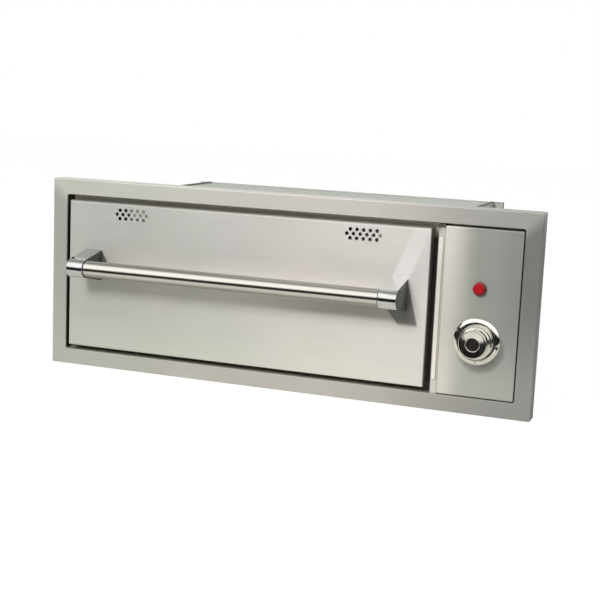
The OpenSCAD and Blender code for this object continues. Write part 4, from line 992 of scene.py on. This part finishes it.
# %% Handle posts
def post_finish():
    """Plated all round, with painted shade on the upper flanks, most on the left post. The end
    face is satin, and its darker colour is painted shade.
    """
    material, made = new_finish("post_plated")
    sideways, _, upward = made.split(made.node("TexCoord", output="Normal"))
    x, y, _ = made.split()
    # the end face: a satin finish, painted darker as shade
    end = made.step(abs(sideways), 0.93, 0.98)
    # painted shade on the upper flanks, strongest on the left post
    flank = made.step(upward, 0.7, 0.85)
    flank = flank * made.step(y, bar_centre[1] + 2 * MM, bar_centre[1] + 6 * MM)
    grain = made.noise(1.0, 3.0, GRAIN_ALONG_Z, 0.6)
    marks, plated = wiped(made, rgb(205, 205, 204), rgb(164, 166, 163))
    plated = made.darker(flank * made.step(x, -0.1, 0.1, 0.40, 0.08), plated)
    satin = made.mix(grain, rgb(78, 80, 76), rgb(96, 97, 92))
    close(made, made.mix(end, plated, satin), marks * 0.04 + end * 0.36 + 0.04,
          Metallic=1.0 - end * 0.35)
    return material


SLEEVE_WALL = 1.74 * MM


def handle_post(name, node):
    low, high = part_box(node)
    sleeve_r, reach = bar_r + SLEEVE_WALL, high[1] - bar_centre[1]
    to_foot = math.degrees(math.atan2(FOOT_HALF, reach))
    tangent = to_foot + math.degrees(math.acos(sleeve_r / math.hypot(FOOT_HALF, reach)))
    section = [(high[1], bar_centre[2] + FOOT_HALF)]
    section += arc(bar_centre[1:], sleeve_r, tangent, 360 - tangent, 40)
    section += [(high[1], bar_centre[2] - FOOT_HALF)]
    mesh = extruded([(low[0], y, z) for y, z in section], (high[0] - low[0], 0, 0))
    # round every edge but those of the foot, which lie on the drawer front
    edges = [edge for edge in mesh.edges if edge.calc_face_angle(0) > 0.5
             and not all(point.co.y > high[1] - TOUCH for point in edge.verts)]
    round_edges(mesh, edges, 0.7 * MM, 3)
    finish_piece(mesh, name, "drawer", "polished_steel", finishes["post_plated"], [node], 35)


finishes["post_plated"] = post_finish()
for side in ("left", "right"):
    handle_post(f"post_{side}", f"handle_post_{side}")

# %% [markdown]
# ### Seals on the bar
# Where the bar enters each sleeve sits a thin dark ring. It hides the joint's clearance.

# %% Seals
for side, end, out in (("left", 1, 1), ("right", 0, -1)):
    face_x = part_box(f"handle_post_{side}")[end][0]
    seal = [(bar_r, -0.4 * MM), (bar_r + 1.1 * MM, -0.4 * MM), (bar_r + 1.1 * MM, 0.5 * MM),
            (bar_r + 0.6 * MM, 1.0 * MM), (bar_r, 1.0 * MM), (bar_r, -0.4 * MM)]
    mesh = spun(seal, (face_x, *bar_centre[1:]), (out, 0, 0), 64)
    finish_piece(mesh, f"seal_{side}", "drawer", "gasket_rubber")

# %% [markdown]
# ## The casing's hems
# Along both sides of the top the casing's sheet is folded up and over, which leaves a low rib. It
# is painted dark grey as shade and reflection, and shows as a thin dark line. A bar with rounded
# upper edges is enough.

# %% Casing hems
HEM_WIDTH, HEM_RISE, HEM_START = 5.0 * MM, 2.3 * MM, 2.5 * MM
EAR, EAR_RISE = 18 * MM, 1.5 * MM       # the rear panel stands out past the casing by as much
low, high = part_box("casing")
rear_low, rear_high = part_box("rear_panel")
casing_top, casing_left = rear_high[2] - EAR_RISE, rear_low[0] + EAR
for name, left in (("hem_left", casing_left), ("hem_right", high[0] - HEM_WIDTH)):
    right, top = left + HEM_WIDTH, casing_top + HEM_RISE
    mesh = extruded([(x, low[1] + HEM_START, z) for x, z in (
        (left, casing_top), (right, casing_top), (right, top), (left, top))],
        (0, high[1] - low[1] - HEM_START, 0))
    upper_edges = [edge for edge in mesh.edges
                   if all(point.co.z > casing_top + TOUCH for point in edge.verts)]
    round_edges(mesh, upper_edges, 0.6 * MM, 2)
    finish_piece(mesh, name, "housing", slot_of["casing"], finishes["hem_sheet"])

# %% [markdown]
# ## Screws
# The housing's rear panel is held by hexagonal sheet-metal screws with a washer face, and the tub
# by domed ones. A head is spun at each place that the CAD node has.

# %% Screws
def islands(node):
    """The boxes of a node's loose parts, from a merged copy of its mesh."""
    mesh = bmesh.new()
    mesh.from_mesh(frame["nodes"][node].data)
    bmesh.ops.remove_doubles(mesh, verts=mesh.verts, dist=0.005 * MM)
    left, boxes = set(mesh.verts), []
    while left:
        stack, part = [left.pop()], []
        while stack:
            point = stack.pop()
            part.append(point.co.copy())
            near = {edge.other_vert(point) for edge in point.link_edges} & left
            left -= near
            stack += near
        boxes.append([[pick(p[i] for p in part) for i in range(3)] for pick in (min, max)])
    mesh.free()
    return boxes


def screw_heads(name, node, body, hexagonal):
    mesh = bmesh.new()
    for low, high in islands(node):
        r, tip = (high[0] - low[0]) / 2, high[1]
        x, z = (low[0] + high[0]) / 2, (low[2] + high[2]) / 2
        deep = (high[1] - low[1]) * 0.5
        profile = [(0, -deep), (r, -deep)]
        if hexagonal:
            profile += [(r, -deep * 0.72), (r * 0.92, -deep * 0.62), (0, -deep * 0.6)]
        else:
            profile += [(r, -deep * 0.6), (r * 0.85, -deep * 0.28), (r * 0.5, -deep * 0.06),
                        (0, 0)]
        part = spun(profile, (x, tip, z), (0, 1, 0), 24)
        if hexagonal:
            turned = (Matrix.Translation((x, tip - deep * 0.32, z))
                      @ Matrix.Rotation(math.radians(90), 4, "X"))
            bmesh.ops.create_cone(part, cap_ends=True, segments=6, radius1=r * 0.78,
                                  radius2=r * 0.78, depth=deep * 0.64, matrix=turned)
        data = bpy.data.meshes.new("part")
        part.to_mesh(data)
        part.free()
        mesh.from_mesh(data)
        bpy.data.meshes.remove(data)
    finish_piece(mesh, name, body, "zinc_steel", replaces=[node])


screw_heads("rear_screws_hex", "rear_screws", "housing", True)
screw_heads("tub_screws_domed", "tub_screws", "drawer", False)
